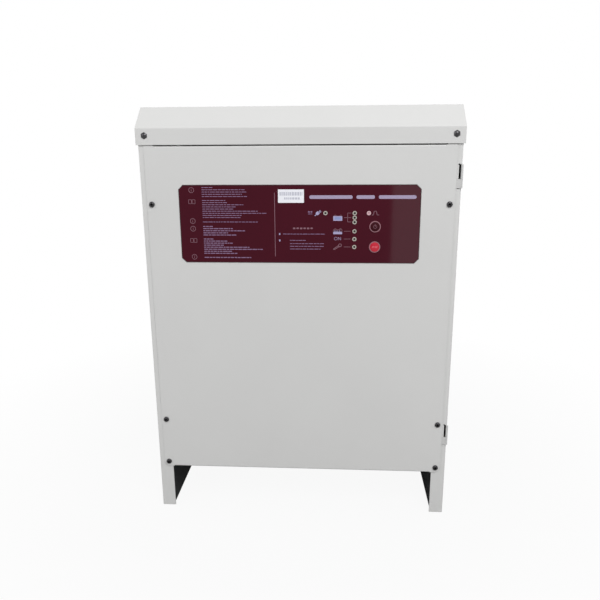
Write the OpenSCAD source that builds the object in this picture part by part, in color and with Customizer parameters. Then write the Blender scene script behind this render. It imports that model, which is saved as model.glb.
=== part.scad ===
// Floor-standing forklift battery charger: a folded sheet-steel cabinet on two black foot runners.
// Front faces -Y, +Z is up, sizes in millimetres. The origin is the bottom centre of the bounding box.

/* [Cabinet] */
// Width over the two side walls
body_w = 580; // [520:1:680]
// Depth over the front and rear flanges
body_d = 420; // [380:1:520]
// Height of the front and rear corners of the side panels
body_top = 757; // [745:1:761]
// Thickness of the cabinet sheet
sheet_t = 1.5; // [1:0.1:2]
// Inside radius of every fold in the cabinet sheet
bend_r = 1.5; // [1:0.1:3]
// Width of the front and rear flanges that also form the legs
leg_flange = 27; // [24:0.5:34]
// Width of the ledge on each side panel that carries the lid
lid_ledge = 18; // [12:1:30]
// Length of that ledge from front to back
lid_ledge_len = 300; // [200:5:320]
// Height from the floor to the lowest side ventilation slot
vent_z = 150; // [130:1:220]
// Length of one side ventilation slot
vent_l = 64; // [40:1:80]
// Width of one side ventilation slot
vent_w = 6; // [4:0.5:9]
// Pitch of the side ventilation slots
vent_pitch = 18; // [14:1:24]
// Number of slots in each column
vent_rows = 9; // [4:1:12]
// Distance between the slot columns
vent_col = 96; // [88:1:110]

/* [Lid] */
// Height by which the lid overlaps the top of the side panels
lid_overlap = 24; // [20:0.5:30]
// Height of the lid's upright flange
lid_flange = 29.5; // [25:0.5:36]
// Rise of the lid's sloping face
bevel_rise = 37.5; // [25:0.5:50]
// Run of the lid's sloping face from front to back
bevel_run = 44; // [30:0.5:55]
// Clearance between the lid and the cabinet
lid_clear = 1.25; // [0.8:0.05:2]
// Distance from the cabinet's side to a lid screw
lid_screw_in = 13.5; // [10:0.5:18]
// Height of the lid screws above the lid's lower edge
lid_screw_up = 16.5; // [12:0.5:18]

/* [Front panel] */
// Bare strip between the panel's side edge and the cabinet's side
panel_margin = 10; // [9:0.5:13]
// Height of the panel's lower edge above the floor
panel_bottom = 91.5; // [86:0.5:98]
// Open gap between the panel and the lid
panel_gap = 1.8; // [1:0.1:6]
// Radius of the panel's upper corners
panel_r_top = 3; // [2:0.5:8]
// Radius of the panel's lower corners
panel_r_low = 12; // [8:0.5:16]
// Depth of the folded upper and lower edges
panel_return = 12; // [8:0.5:14]
// Distance from the cabinet's side to a panel screw
panel_screw_in = 19; // [17:0.5:21]
// Heights of the panel screws above the floor
panel_screw_z = [102, 196, 627];

/* [Hinges] */
// Outer diameter of the rolled hinge knuckles
hinge_d = 4.2; // [3.8:0.1:5]
// Diameter of the hinge pin
hinge_pin_d = 1.9; // [1.6:0.1:2.2]
// Thickness of the hinge leaves
hinge_leaf_t = 1; // [0.8:0.1:1.2]
// Height of the upper knuckle
hinge_upper = 25; // [18:1:32]
// Height of the lower knuckle
hinge_lower = 16; // [12:1:24]
// Heights of the lower end of each hinge above the floor
hinge_z = [153.5, 655.5];
// Width of the open slot beside the knuckles
hinge_slot = 3.6; // [2.5:0.1:4]
// Diameter of the drilled reliefs at the corners of the hinge cut-outs
relief_d = 2.8; // [2:0.1:4]
// Height of the knuckles above the panel's face
hinge_proud = 0.9; // [0.5:0.1:1.2]

/* [Control overlay] */
// Width of the printed overlay
overlay_w = 440; // [400:1:480]
// Height of the printed overlay
overlay_h = 143.5; // [135:0.5:160]
// Height of the overlay's lower edge above the floor
overlay_z = 519; // [480:1:560]
// Cut-off at the overlay's corners
overlay_cut = 8.3; // [4:0.1:14]
// Thickness of the overlay
overlay_t = 0.4; // [0.3:0.1:0.8]
// Width of the plain white sticker
sticker_w = 47; // [35:1:55]
// Height of the plain white sticker
sticker_h = 24; // [18:1:28]
// Left edge of the sticker from the cabinet's centre
sticker_x = -37.3; // [-42:0.1:-20]
// Lower edge of the sticker above the overlay's lower edge
sticker_up = 111; // [100:1:114]
// Thickness of the sticker
sticker_t = 0.2; // [0.1:0.1:0.4]

/* [Indicators and keys] */
// Column of the status lamps from the cabinet's centre
lamp_x = 101.8; // [95:0.1:106]
// Column of the mains lamp
mains_lamp_x = 48.7; // [40:0.1:60]
// Column of the timer lamp
timer_lamp_x = 127.3; // [122:0.1:129]
// Height of the top lamp row above the overlay's lower edge
lamp_row_z = 92.4; // [88:0.1:100]
// Drop of each status lamp below the top row
lamp_drop = [0, 8.2, 16.4, 33.1, 47.4, 62.1];
// Outer diameter of a lamp ring
lamp_ring_d = 7.6; // [6:0.1:8]
// Bore of a lamp ring
lamp_bore_d = 4.2; // [3:0.1:4.6]
// Clearance round a lamp in its ring
lamp_clear = 0.2; // [0.1:0.05:0.3]
// Column of the two keys
key_x = 139; // [136:0.1:142]
// Height of the mode key above the overlay's lower edge
mode_key_z = 67.9; // [64:0.1:72]
// Height of the stop key above the overlay's lower edge
stop_key_z = 30.6; // [26:0.1:36]
// Diameter of the two keys
key_d = 17; // [14:0.1:19]
// Clearance round a key in its ring
key_clear = 0.3; // [0.2:0.05:0.5]
// Wall of the ring round a key
key_ring_wall = 0.8; // [0.6:0.1:1.2]
// Rim of the ring round a key
key_ring_rim = 0.6; // [0.4:0.1:1.2]
// Height of a ring above the overlay
ring_h = 1.2; // [0.8:0.1:2]
// Height of a key above its ring at rest
key_proud = 1.6; // [1.2:0.1:3]
// Travel of a key
key_travel = 1; // [0.6:0.1:1.2]

/* [Base] */
// Thickness of the base plate
base_t = 2; // [1.5:0.1:3]
// Height of the base plate's folded edges
base_fold = 20; // [14:1:30]
// Distance from the front or rear flange plane to the base plate
base_inset = 16; // [15:0.5:24]
// Height of the black foot runners
runner_h = 92; // [86:0.5:98]
// Width of a runner's flanges
runner_w = 23.5; // [18:0.5:26]
// Thickness of the runner's steel
runner_t = 3; // [2:0.1:4]
// Distance from the front and rear flange planes to the runner's ends
runner_inset = 4; // [3:0.5:12]
// Diameter of the base bolts
base_bolt_d = 8; // [6:1:10]

/* [Rear panel] */
// Length of the straight part of a louvre
louvre_l = 128; // [80:1:150]
// Outer radius of a pressed louvre
louvre_r = 8; // [6:0.5:10]
// Pitch of the louvres
louvre_pitch = 20; // [18:1:28]
// Number of louvres in each bank
louvre_rows = 8; // [4:1:10]
// Height of the lowest louvre above the floor
louvre_z = 300; // [280:1:330]
// Distance between the two louvre banks
louvre_col = 190; // [170:1:230]
// Width of the gland plate
gland_plate_w = 240; // [200:1:300]
// Height of the gland plate
gland_plate_h = 84; // [70:1:100]
// Height of the glands above the floor
gland_z = 190; // [170:1:215]
// Distance between neighbouring glands
gland_pitch = 66; // [54:1:76]
// Thread diameter of a gland
gland_thread_d = 25; // [20:0.5:32]
// Length of a gland's thread inside the rear panel
gland_in = 12; // [10:0.5:16]
// Bore of a gland's seal
gland_bore_d = 16; // [10:0.5:18]

/* [Fan] */
// Side of the square fan frame
fan_s = 150; // [120:1:172]
// Depth of the fan frame
fan_t = 38; // [32:1:51]
// Bore of the fan's duct
fan_bore = 140; // [110:1:160]
// Height of the fan's centre above the floor
fan_z = 600; // [570:1:640]
// Diameter of the rotor's hub
fan_hub_d = 62; // [50:1:70]
// Number of blades
fan_blades = 7; // [5:1:9]
// Thickness of a blade
blade_t = 2.4; // [2:0.1:3]
// Clearance between the blade tips and the duct
fan_tip = 1.5; // [1:0.1:3]
// Wire of the fan's finger guard
guard_wire = 2.4; // [2:0.1:3]
// Distance between neighbouring rings of the guard
guard_pitch = 12; // [10:0.5:14]
// Distance from the rear panel to the guard's rings
guard_rise = 7; // [5:0.5:10]

/* [Power parts] */
// Width of the transformer core
core_w = 300; // [270:1:330]
// Height of the transformer core
core_h = 250; // [220:1:270]
// Stack depth of the transformer core
core_d = 84; // [70:1:100]
// Width of each limb and yoke of the core
limb_w = 50; // [44:1:56]
// Clearance between a winding and the core
coil_clear = 0.25; // [0.2:0.05:0.3]
// Clearance between neighbouring windings
coil_gap = 3; // [2:0.5:6]
// Transformer's centre from the middle of the space between the left wall and the negative bar
core_shift = 0; // [-5:0.5:5]
// Distance from the cabinet's centre to the mounting plate
mount_y = 40; // [30:1:60]
// Height of the mounting plate's lower edge
mount_z = 410; // [400:1:430]
// Height of the mounting plate
mount_h = 300; // [280:1:310]
// Width of the mounting plate's side folds
mount_fold = 22; // [16:1:30]
// Distance by which the mounting plate laps behind the heat sink's edges
sink_lap = 12; // [8:1:20]
// Width of the heat sink
sink_w = 200; // [160:1:220]
// Height of the heat sink
sink_h = 170; // [140:1:190]
// Depth of the heat sink's fins
sink_fin = 55; // [40:1:70]
// Number of fins
sink_fins = 17; // [9:2:21]
// Width of a rectifier module
module_w = 34; // [28:1:40]
// Length of a rectifier module
module_l = 94; // [80:1:100]
// Height of a rectifier module
module_h = 30; // [24:1:36]
// Distance between neighbouring modules
module_pitch = 52; // [46:1:60]
// Width of the copper bars
bar_w = 25; // [20:1:30]
// Thickness of the copper bars
bar_t = 5; // [4:0.5:6]
// Diameter of the output studs
stud_d = 10; // [8:1:12]
// Distance from the cabinet's side wall to the positive stud
stud_in = 64; // [56:1:70]
// Distance between the two output studs
stud_pitch = 58; // [52:1:70]
// Diameter of the fuse's ceramic body
fuse_d = 24; // [20:1:28]
// Length of the fuse's ceramic body
fuse_l = 48; // [40:1:54]
// Width of the fuse's tabs
fuse_tab_w = 20; // [16:1:24]
// Thickness of the fuse's tabs
fuse_tab_t = 3; // [2:0.5:4]
// Length of a fuse tab on its bar
fuse_tab_l = 24; // [18:1:28]
// Distance from the side wall to the middle of the contactor and the mains terminals
supply_in = 85; // [70:1:90]
// Width of the contactor
contactor_w = 72; // [60:1:80]
// Height of the contactor
contactor_h = 84; // [70:1:90]
// Depth of the contactor's base
contactor_d = 46; // [40:1:52]
// Depth of the contactor's raised middle
contactor_rise = 38; // [30:1:44]
// Height of the contactor's middle above the mounting plate's lower edge
contactor_up = 200; // [180:1:230]
// Pitch of the mains terminals
terminal_pitch = 15; // [12:0.5:18]
// Height of a mains terminal
terminal_h = 52; // [44:1:58]
// Depth of a mains terminal
terminal_d = 42; // [36:1:50]
// Height of the mains terminals above the mounting plate's lower edge
terminal_up = 70; // [60:1:90]
// Width of the control board
control_w = 210; // [180:1:230]
// Height of the control board
control_h = 110; // [100:1:120]
// Distance from the control board to the mounting plate
control_gap = 12; // [10:0.5:16]
// Height of the control board's middle above the mounting plate's lower edge
control_up = 61; // [58:1:64]
// Distance from the control board's ends to its parts
part_edge = 10; // [8:1:16]
// Height of the capacitors and relays above the control board's middle
part_row = 22; // [16:1:28]
// Diameter of a capacitor
cap_d = 14; // [10:0.5:16]
// Height of a capacitor
cap_h = 24; // [16:1:30]
// Spacing of the capacitors
cap_pitch = 20; // [17:0.5:24]
// Length of a relay
relay_l = 20; // [16:1:24]
// Width of a relay
relay_w = 16; // [12:1:18]
// Height of a relay
relay_h = 16; // [12:1:20]
// Spacing of the relays
relay_pitch = 26; // [25:0.5:30]
// Length of the small supply transformer
aux_l = 50; // [40:1:56]
// Width of the small supply transformer
aux_w = 42; // [34:1:44]
// Height of the small supply transformer
aux_h = 34; // [28:1:38]
// Length of the processor
chip_l = 30; // [20:1:36]
// Width of the processor
chip_w = 12; // [8:1:16]
// Height of the processor
chip_h = 4; // [3:0.5:6]
// Length of the plug strip
plug_l = 96; // [70:1:100]
// Width of the plug strip
plug_w = 12; // [9:1:14]
// Height of the plug strip
plug_h = 11; // [8:1:14]
// Distance from the control board's lower edge to the plug strip
plug_edge = 5; // [4:0.5:8]

/* [Fasteners] */
// Diameter of the cabinet screws
screw_d = 5; // [4:0.5:6]
// Head diameter of the cabinet screws
screw_head_d = 10; // [8:0.1:11]
// Head height of the cabinet screws
screw_head_h = 3.2; // [2:0.1:4]
// Width across the corners of the lid bolts' hexagon heads
lid_head_w = 12.4; // [11:0.1:16]
// Length of the cabinet screws
screw_l = 10; // [8:0.5:14]
// Clearance round a screw in its hole
screw_clear = 0.25; // [0.2:0.05:0.5]

/* [Hidden] */
$fn = 48;

paint = [0.83, 0.83, 0.81];
black = [0.07, 0.07, 0.075];
dark = [0.13, 0.12, 0.13];
maroon = [0.27, 0.07, 0.11];
red = [0.78, 0.1, 0.17];
white = [0.92, 0.92, 0.9];
zinc = [0.7, 0.71, 0.72];
alloy = [0.78, 0.79, 0.8];
copper = [0.72, 0.43, 0.27];
brass = [0.78, 0.63, 0.33];
green = [0.1, 0.33, 0.18];
tape = [0.72, 0.52, 0.2];
core_steel = [0.33, 0.34, 0.36];
grey = [0.45, 0.46, 0.47];

half_w = body_w / 2;
front_y = -body_d / 2;
rear_y = body_d / 2;
wall_in = half_w - sheet_t;
bend_o = bend_r + sheet_t;
lid_bottom = body_top - lid_overlap;
lid_top = lid_bottom + lid_flange + bevel_rise;
lid_under = lid_top - sheet_t;
lid_front = front_y - lid_clear - sheet_t;
lid_half_w = half_w + lid_clear + sheet_t;
lid_screw_x = half_w - lid_screw_in;
lid_screw_z = lid_bottom + lid_screw_up;
panel_top = lid_bottom - panel_gap;
panel_half = half_w - panel_margin;
panel_face = front_y - sheet_t;
panel_screw_x = half_w - panel_screw_in;
return_half = half_w - leg_flange - 3;
film_face = panel_face - overlay_t;
rear_face = rear_y + sheet_t;
plate_face = rear_face + sheet_t;
hole_d = screw_d + 2 * screw_clear;
nut_hole_d = screw_d + 1.6;
nut_d = screw_d + 4;
nut_h = 4;
cap_l = 21;
hex_l = 9;
gland_out = plate_face + hex_l + cap_l;
screw_front = lid_front - screw_head_h;
mid_y = (gland_out + screw_front) / 2;
base_z = runner_h;
floor_z = base_z + base_t;
hinge_x = wall_in + hinge_d / 2 - hinge_leaf_t;
hinge_y = panel_face + hinge_d / 2 - hinge_proud;
hinge_total = hinge_upper + hinge_lower + 0.4;
board_gap = 14;
board_y = front_y + board_gap;
board_t = 1.6;
board_x0 = mains_lamp_x - 18;
board_x1 = key_x + 26;
board_z0 = overlay_z + stop_key_z - 22;
board_z1 = overlay_z + lamp_row_z + 16;
key_ring_in = key_d + 2 * key_clear;
key_ring_out = key_ring_in + 2 * key_ring_wall;
ring_back = front_y + 3;
key_flange_y = ring_back + 0.1;
key_flange_t = 1.5;
key_stem_d = 4;
switch_s = 12;
switch_h = 6;
switch_face = board_y - switch_h;
switch_bore = 3.5;
stem_end = board_y - switch_h + switch_bore - 0.5 - key_travel;
lamp_d = lamp_bore_d - 2 * lamp_clear;
lamp_barrel_d = lamp_bore_d + 1.4;
lamp_barrel_back = front_y + 4;
lamps = [for (d = lamp_drop) [lamp_x, lamp_row_z - d]];
all_lamps = concat(lamps, [[mains_lamp_x, lamp_row_z], [timer_lamp_x, lamp_row_z]]);
keys = [[key_x, mode_key_z], [key_x, stop_key_z]];
board_holes = [for (x = [board_x0 + 6, board_x1 - 6]) for (z = [board_z0 + 6, board_z1 - 6]) [x, z]];
gland_xs = [-gland_pitch, 0, gland_pitch];
gland_hex = gland_thread_d * 1.32;
seal_l = 14;
rear_screw_z = [102, 270, 460, 640];
fan_hole = fan_s * 0.42;
fan_front = rear_y - fan_t;
coil_t = (core_w - 3 * limb_w) / 4 - coil_gap / 2;
window_w = (core_w - 3 * limb_w) / 2;
window_h = core_h - 2 * limb_w;
limb_pitch = limb_w + window_w;
core_y = -40;
clamp_leg = 42;
clamp_t = 5;
clamp_l = core_w + 24;
bolt_d = 8;
bolt_x = core_w / 2 - limb_w / 2;
mount_front = mount_y - base_t;
sink_base = 10;
sink_z = mount_z + mount_h / 2 + 40;
plus_x = half_w - stud_in;
minus_x = plus_x - stud_pitch;
core_x = (minus_x - bar_w / 2 - wall_in) / 2 + core_shift;
supply_x = supply_in - half_w;
module_face = mount_y - module_h;
term_z = floor_z;
term_y = 130;
fuse_z = 470;
control_x = -20;
control_z = mount_z + control_up;
control_y = mount_front - control_gap - board_t;
control_holes = [for (x = [-1, 1]) for (z = [-1, 1])
    [control_x + x * (control_w / 2 - 6), control_z + z * (control_h / 2 - 6)]];

// Moves the cabinet so that its bounding box is centred on the origin
module seat() {
    translate([0, -mid_y, 0]) children();
}

// Pushes an X-Z outline through the depth
module along_y(y0, y1) {
    translate([0, y1, 0]) rotate([90, 0, 0]) linear_extrude(y1 - y0) children();
}

// Pushes a Y-Z outline through the width
module along_x(x0, x1) {
    translate([x0, 0, 0]) rotate([90, 0, 90]) linear_extrude(x1 - x0) children();
}

// Round bar or drill along the depth
module rod_y(x, z, d, y0, y1) {
    translate([x, y0, z]) rotate([-90, 0, 0]) cylinder(d = d, h = y1 - y0);
}

// Wedge of a ring, the cross-section of a fold
module ring_sector(r_in, r_out, a0, a1) {
    am = (a0 + a1) / 2;
    far = 3 * r_out;
    intersection() {
        difference() {
            circle(r_out);
            circle(r_in);
        }
        polygon([[0, 0], far * [cos(a0), sin(a0)], far * [cos(am), sin(am)], far * [cos(a1), sin(a1)]]);
    }
}

// Sheet that runs along +X and folds to the left: legs holds [straight length, turn] pairs
module fold(legs, t, r, i = 0) {
    run = legs[i][0];
    turn = legs[i][1];
    square([run, t]);
    if (turn > 0) {
        translate([run, t + r]) ring_sector(r, r + t, -90, turn - 90);
        translate([run, t + r]) rotate(turn) translate([0, -t - r]) fold(legs, t, r, i + 1);
    }
}

// Slot with round ends
module obround(l, w) {
    square([l - w, w], center = true);
    for (s = [-1, 1])
        translate([s * (l - w) / 2, 0]) circle(d = w);
}

// Rectangle with round corners
module round_rect(w, h, r) {
    square([w - 2 * r, h], center = true);
    square([w, h - 2 * r], center = true);
    for (x = [-1, 1])
        for (z = [-1, 1])
            translate([x * (w / 2 - r), z * (h / 2 - r)]) circle(r);
}

// Screw along +Z with its head below the origin
module screw(d, head_d, head_h, l) {
    cylinder(d = d, h = l);
    intersection() {
        translate([0, 0, -head_h]) cylinder(d = head_d, h = head_h);
        translate([0, 0, -head_h + head_d * 0.75]) sphere(head_d * 0.75, $fn = 64);
    }
}

// Flat hexagon bolt along +Z with a chamfered head below the origin, a corner of it towards +Y
module flat_bolt(d, head_w, head_h, l) {
    across = head_w * cos(30);
    cylinder(d = d, h = l);
    rotate(30) translate([0, 0, -head_h]) intersection() {
        cylinder(d = head_w, h = head_h, $fn = 6);
        cylinder(d1 = across, d2 = across + 2 * head_h / tan(30), h = head_h);
    }
}

// Hexagon-head bolt along +Z with its head below the origin
module hex_bolt(d, l) {
    cylinder(d = d, h = l);
    translate([0, 0, -0.65 * d]) cylinder(d = 1.9 * d, h = 0.65 * d, $fn = 6);
}

// Plan of the right side panel: front flange, wall and rear flange
module side_plan() {
    translate([half_w - leg_flange, front_y])
        fold([[leg_flange - bend_o, 90], [body_d - 2 * bend_o, 90], [leg_flange - bend_o, 0]], sheet_t, bend_r);
}

// Right side panel without its hinge cut-outs
module side_shell() {
    ledge_z = lid_under - bend_o;
    cheek = lid_ledge_len / 2 + 40;
    difference() {
        union() {
            linear_extrude(body_top) side_plan();
            along_x(wall_in, half_w)
                polygon([[-cheek, body_top - 1], [cheek, body_top - 1], [lid_ledge_len / 2, ledge_z],
                    [-lid_ledge_len / 2, ledge_z]]);
            along_y(-lid_ledge_len / 2, lid_ledge_len / 2)
                translate([half_w, ledge_z - 1])
                    rotate(90) fold([[1, 90], [lid_ledge - bend_o, 0]], sheet_t, bend_r);
        }
        along_x(wall_in - 1, half_w + 1)
            for (c = [-1, 0, 1])
                for (i = [0 : vent_rows - 1])
                    translate([c * vent_col, vent_z + i * vent_pitch]) obround(vent_l, vent_w);
        for (z = panel_screw_z)
            rod_y(panel_screw_x, z, nut_hole_d, front_y - 1, front_y + sheet_t + 1);
        for (z = rear_screw_z)
            rod_y(panel_screw_x, z, nut_hole_d, rear_y - sheet_t - 1, rear_y + 1);
        for (s = [-1, 1])
            rod_y(lid_screw_x, lid_screw_z, nut_hole_d, s * rear_y - sheet_t - 1, s * rear_y + sheet_t + 1);
    }
}

module left_side_panel() {
    color(paint) seat() mirror([1, 0, 0]) side_shell();
}

module right_side_panel() {
    notch_x = hinge_x - hinge_d / 2 - hinge_slot;
    notch_y = max(hinge_y + hinge_d / 2 + 0.5, front_y + bend_o + 0.2);
    color(paint) seat() difference() {
        side_shell();
        for (z = hinge_z)
            translate([notch_x, front_y - 1, z - 0.3])
                cube([half_w - notch_x + 1, notch_y - front_y + 1, hinge_total + 0.6]);
        for (z = hinge_z)
            for (end = [-0.3, hinge_total + 0.3])
                rod_y(notch_x, z + end, relief_d, front_y - 1, front_y + sheet_t + 1);
    }
}

module base_plate() {
    y0 = front_y + base_inset;
    lip = base_fold - base_t - bend_r;
    color(paint) seat() difference() {
        along_y(y0, -y0)
            translate([-wall_in, base_z + base_fold])
                rotate(-90)
                    fold([[lip, 90], [2 * (wall_in - base_t - bend_r), 90], [lip, 0]], base_t, bend_r);
        for (x = [-1, 1])
            for (y = [-1, 1])
                translate([x * (wall_in - runner_w / 2), y * (body_d / 2 - 60), base_z - 1])
                    cylinder(d = base_bolt_d + 1, h = base_t + 2);
        translate([0, 0, base_z - 1])
            linear_extrude(base_t + 2)
                for (i = [-4 : 4])
                    translate([core_x + i * 24, 100]) rotate(90) obround(vent_l, vent_w);
    }
}

// Right runner: a channel whose web stands under the cabinet and whose flanges point outwards
module runner() {
    y1 = body_d / 2 - runner_inset;
    straight = runner_w - runner_t - bend_r;
    difference() {
        along_y(-y1, y1)
            translate([wall_in, runner_h])
                rotate(180)
                    fold([[straight, 90], [runner_h - 2 * (runner_t + bend_r), 90], [straight, 0]], runner_t,
                        bend_r);
        for (y = [-1, 1])
            translate([wall_in - runner_w / 2, y * (body_d / 2 - 60), runner_h - runner_t - 1])
                cylinder(d = base_bolt_d + 1, h = runner_t + 2);
    }
}

module left_foot_runner() {
    color(black) seat() mirror([1, 0, 0]) runner();
}

module right_foot_runner() {
    color(black) seat() runner();
}

module base_bolts() {
    nut_z = runner_h - runner_t;
    color(zinc) seat()
        for (x = [-1, 1])
            for (y = [-1, 1])
                translate([x * (wall_in - runner_w / 2), y * (body_d / 2 - 60), 0]) {
                    translate([0, 0, floor_z]) rotate([180, 0, 0]) hex_bolt(base_bolt_d, base_t + runner_t + 9);
                    translate([0, 0, nut_z - 6]) cylinder(d = 13, h = 6, $fn = 6);
                }
}

// Angle rail behind the front and rear flanges, under the lid
module top_rail() {
    rail_h = lid_overlap - 4;
    end_x = wall_in - bend_r - 0.5;
    difference() {
        along_x(-end_x, end_x)
            translate([front_y + sheet_t, body_top - rail_h])
                mirror([1, 0]) rotate(90) fold([[rail_h - bend_o, 90], [18, 0]], sheet_t, bend_r);
        for (s = [-1, 1])
            rod_y(s * lid_screw_x, lid_screw_z, nut_hole_d, front_y, front_y + sheet_t + 2);
    }
}

module top_rails() {
    color(paint) seat() {
        top_rail();
        mirror([0, 1, 0]) top_rail();
    }
}

// Face of a cover sheet in X-Z
module panel_face_2d() {
    w = panel_half;
    translate([-w, panel_bottom + panel_r_low])
        square([2 * w, panel_top - panel_bottom - panel_r_low - panel_r_top]);
    translate([-w + panel_r_low, panel_bottom]) square([2 * (w - panel_r_low), panel_r_low]);
    translate([-w + panel_r_top, panel_top - panel_r_top]) square([2 * (w - panel_r_top), panel_r_top]);
    for (s = [-1, 1]) {
        translate([s * (w - panel_r_low), panel_bottom + panel_r_low]) circle(panel_r_low);
        translate([s * (w - panel_r_top), panel_top - panel_r_top]) circle(panel_r_top);
    }
}

// Cover sheet with its upper and lower edges folded into the cabinet, drawn for the front
module cover_sheet() {
    difference() {
        along_y(panel_face, front_y) panel_face_2d();
        along_y(panel_face - 1, front_y + 1) {
            translate([-return_half, panel_top - bend_o]) square([2 * return_half, bend_o + 1]);
            translate([-return_half, panel_bottom - 1]) square([2 * return_half, bend_o + 1]);
        }
    }
    legs = [[1, 90], [panel_return - bend_o, 0]];
    along_x(-return_half, return_half)
        translate([panel_face, panel_top - bend_o - 1]) mirror([1, 0]) rotate(90) fold(legs, sheet_t, bend_r);
    along_x(-return_half, return_half)
        translate([panel_face, panel_bottom + bend_o + 1]) rotate(-90) fold(legs, sheet_t, bend_r);
}

module front_panel() {
    y0 = panel_face - 1;
    y1 = front_y + 1;
    color(paint) seat() difference() {
        cover_sheet();
        for (x = [-1, 1])
            for (z = panel_screw_z)
                rod_y(x * panel_screw_x, z, hole_d, y0, y1);
        for (p = all_lamps)
            rod_y(p[0], overlay_z + p[1], lamp_barrel_d + 0.4, y0, y1);
        for (p = keys)
            rod_y(p[0], overlay_z + p[1], key_ring_out + 0.4, y0, y1);
    }
}

// Knuckle ring of a hinge in plan
module knuckle_2d() {
    translate([hinge_x, hinge_y]) difference() {
        circle(d = hinge_d);
        circle(d = hinge_pin_d + 0.3);
    }
}

module hinge_frame_leaves() {
    leaf_l = 24;
    color(paint) seat()
        for (z = hinge_z)
            translate([0, 0, z + hinge_lower + 0.4])
                linear_extrude(hinge_upper)
                    union() {
                        knuckle_2d();
                        translate([wall_in - hinge_leaf_t, hinge_y]) difference() {
                            square([hinge_leaf_t, leaf_l]);
                            translate([hinge_x - wall_in + hinge_leaf_t, 0]) circle(d = hinge_pin_d + 0.3);
                        }
                    }
}

module hinge_panel_leaves() {
    color(paint) seat()
        for (z = hinge_z)
            translate([0, 0, z])
                linear_extrude(hinge_lower)
                    union() {
                        knuckle_2d();
                        translate([panel_half, panel_face]) difference() {
                            square([hinge_x - panel_half, hinge_leaf_t]);
                            translate([hinge_x - panel_half, hinge_y - panel_face]) circle(d = hinge_pin_d + 0.3);
                        }
                    }
}

module hinge_pins() {
    color(zinc) seat()
        for (z = hinge_z)
            translate([hinge_x, hinge_y, z - 0.2]) cylinder(d = hinge_pin_d, h = hinge_total + 0.2);
}

// Hood of one louvre with its lower lip at the origin, pressed towards +Y
module louvre_hood() {
    along_x(-louvre_l / 2, louvre_l / 2) ring_sector(louvre_r - sheet_t, louvre_r, 0, 90);
    for (s = [0, 1])
        mirror([s, 0, 0])
            translate([louvre_l / 2, 0, 0])
                rotate_extrude(angle = 90, $fn = 64) ring_sector(louvre_r - sheet_t, louvre_r, 0, 90);
}

// Opening behind one louvre in X-Z
module louvre_gap() {
    r = louvre_r - sheet_t;
    translate([-louvre_l / 2, 0]) square([louvre_l, r]);
    intersection() {
        union() {
            translate([-louvre_l / 2, 0]) circle(r);
            translate([louvre_l / 2, 0]) circle(r);
        }
        translate([-louvre_l, 0]) square([2 * louvre_l, r]);
    }
}

// Places a child at every louvre of the rear panel
module at_louvres() {
    for (c = [-0.5, 0.5])
        for (i = [0 : louvre_rows - 1])
            translate([c * louvre_col, 0, louvre_z + i * louvre_pitch]) children();
}

module rear_panel() {
    open_w = gland_plate_w - 36;
    open_h = gland_plate_h - 36;
    color(paint) seat() {
        difference() {
            mirror([0, 1, 0]) cover_sheet();
            at_louvres() along_y(rear_y - 1, rear_face + 1) louvre_gap();
            rod_y(0, fan_z, fan_bore, rear_y - 1, rear_face + 1);
            for (x = [-1, 1]) {
                for (z = rear_screw_z)
                    rod_y(x * panel_screw_x, z, hole_d, rear_y - 1, rear_face + 1);
                for (z = [-1, 1]) {
                    rod_y(x * fan_hole, fan_z + z * fan_hole, 4.6, rear_y - 1, rear_face + 1);
                    rod_y(x * (gland_plate_w / 2 - 9), gland_z + z * (gland_plate_h / 2 - 9), hole_d, rear_y - 1,
                        rear_face + 1);
                }
            }
            along_y(rear_y - 1, rear_face + 1) translate([0, gland_z]) round_rect(open_w, open_h, 6);
        }
        at_louvres() translate([0, rear_face - 0.4, 0]) louvre_hood();
    }
}

// Points of a bend about a centre in Y-Z
function bend_points(c, r, a0, a1, n = 8) =
    [for (i = [0 : n]) c + r * [cos(a0 + (a1 - a0) * i / n), sin(a0 + (a1 - a0) * i / n)]];

// The same points on the other side of the depth, in the opposite order
function flip_y(p) = [for (i = [len(p) - 1 : -1 : 0]) [-p[i][0], p[i][1]]];

// Front half of the lid's outer or inner outline, from the flange's lower edge to the top
function lid_path(r) =
    let (lean = atan2(bevel_run, bevel_rise))
    let (a = [lid_front + bend_o, lid_bottom + lid_flange - bend_o * tan(lean / 2)])
    let (b = [lid_front + bevel_run + bend_o * tan(45 - lean / 2), lid_top - bend_o])
    concat([[lid_front + bend_o - r, lid_bottom]], bend_points(a, r, 180, 180 - lean),
        bend_points(b, r, 180 - lean, 90));

// Hollow of the lid in Y-Z, open below
module lid_hollow() {
    half = concat([[lid_front + sheet_t, lid_bottom - 1]], lid_path(bend_r));
    polygon(concat(half, flip_y(half)));
}

// Outline of the lid in Y-Z over its flanges, sloping faces and top
module lid_outline() {
    polygon(concat(lid_path(bend_o), flip_y(lid_path(bend_o))));
}

module lid() {
    color(paint) seat() difference() {
        along_x(-lid_half_w, lid_half_w) lid_outline();
        along_x(-lid_half_w + sheet_t, lid_half_w - sheet_t) lid_hollow();
        for (x = [-1, 1])
            for (y = [-1, 1])
                rod_y(x * lid_screw_x, lid_screw_z, hole_d, y * (lid_front + sheet_t / 2) - 2,
                    y * (lid_front + sheet_t / 2) + 2);
    }
}

module overlay_film() {
    w = overlay_w / 2;
    c = overlay_cut;
    color(maroon) seat() difference() {
        along_y(film_face, panel_face)
            translate([0, overlay_z])
                polygon([[-w + c, 0], [w - c, 0], [w, c], [w, overlay_h - c], [w - c, overlay_h],
                    [-w + c, overlay_h], [-w, overlay_h - c], [-w, c]]);
        for (p = all_lamps)
            rod_y(p[0], overlay_z + p[1], lamp_barrel_d + 0.4, film_face - 1, panel_face + 1);
        for (p = keys)
            rod_y(p[0], overlay_z + p[1], key_ring_out + 0.4, film_face - 1, panel_face + 1);
    }
}

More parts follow.
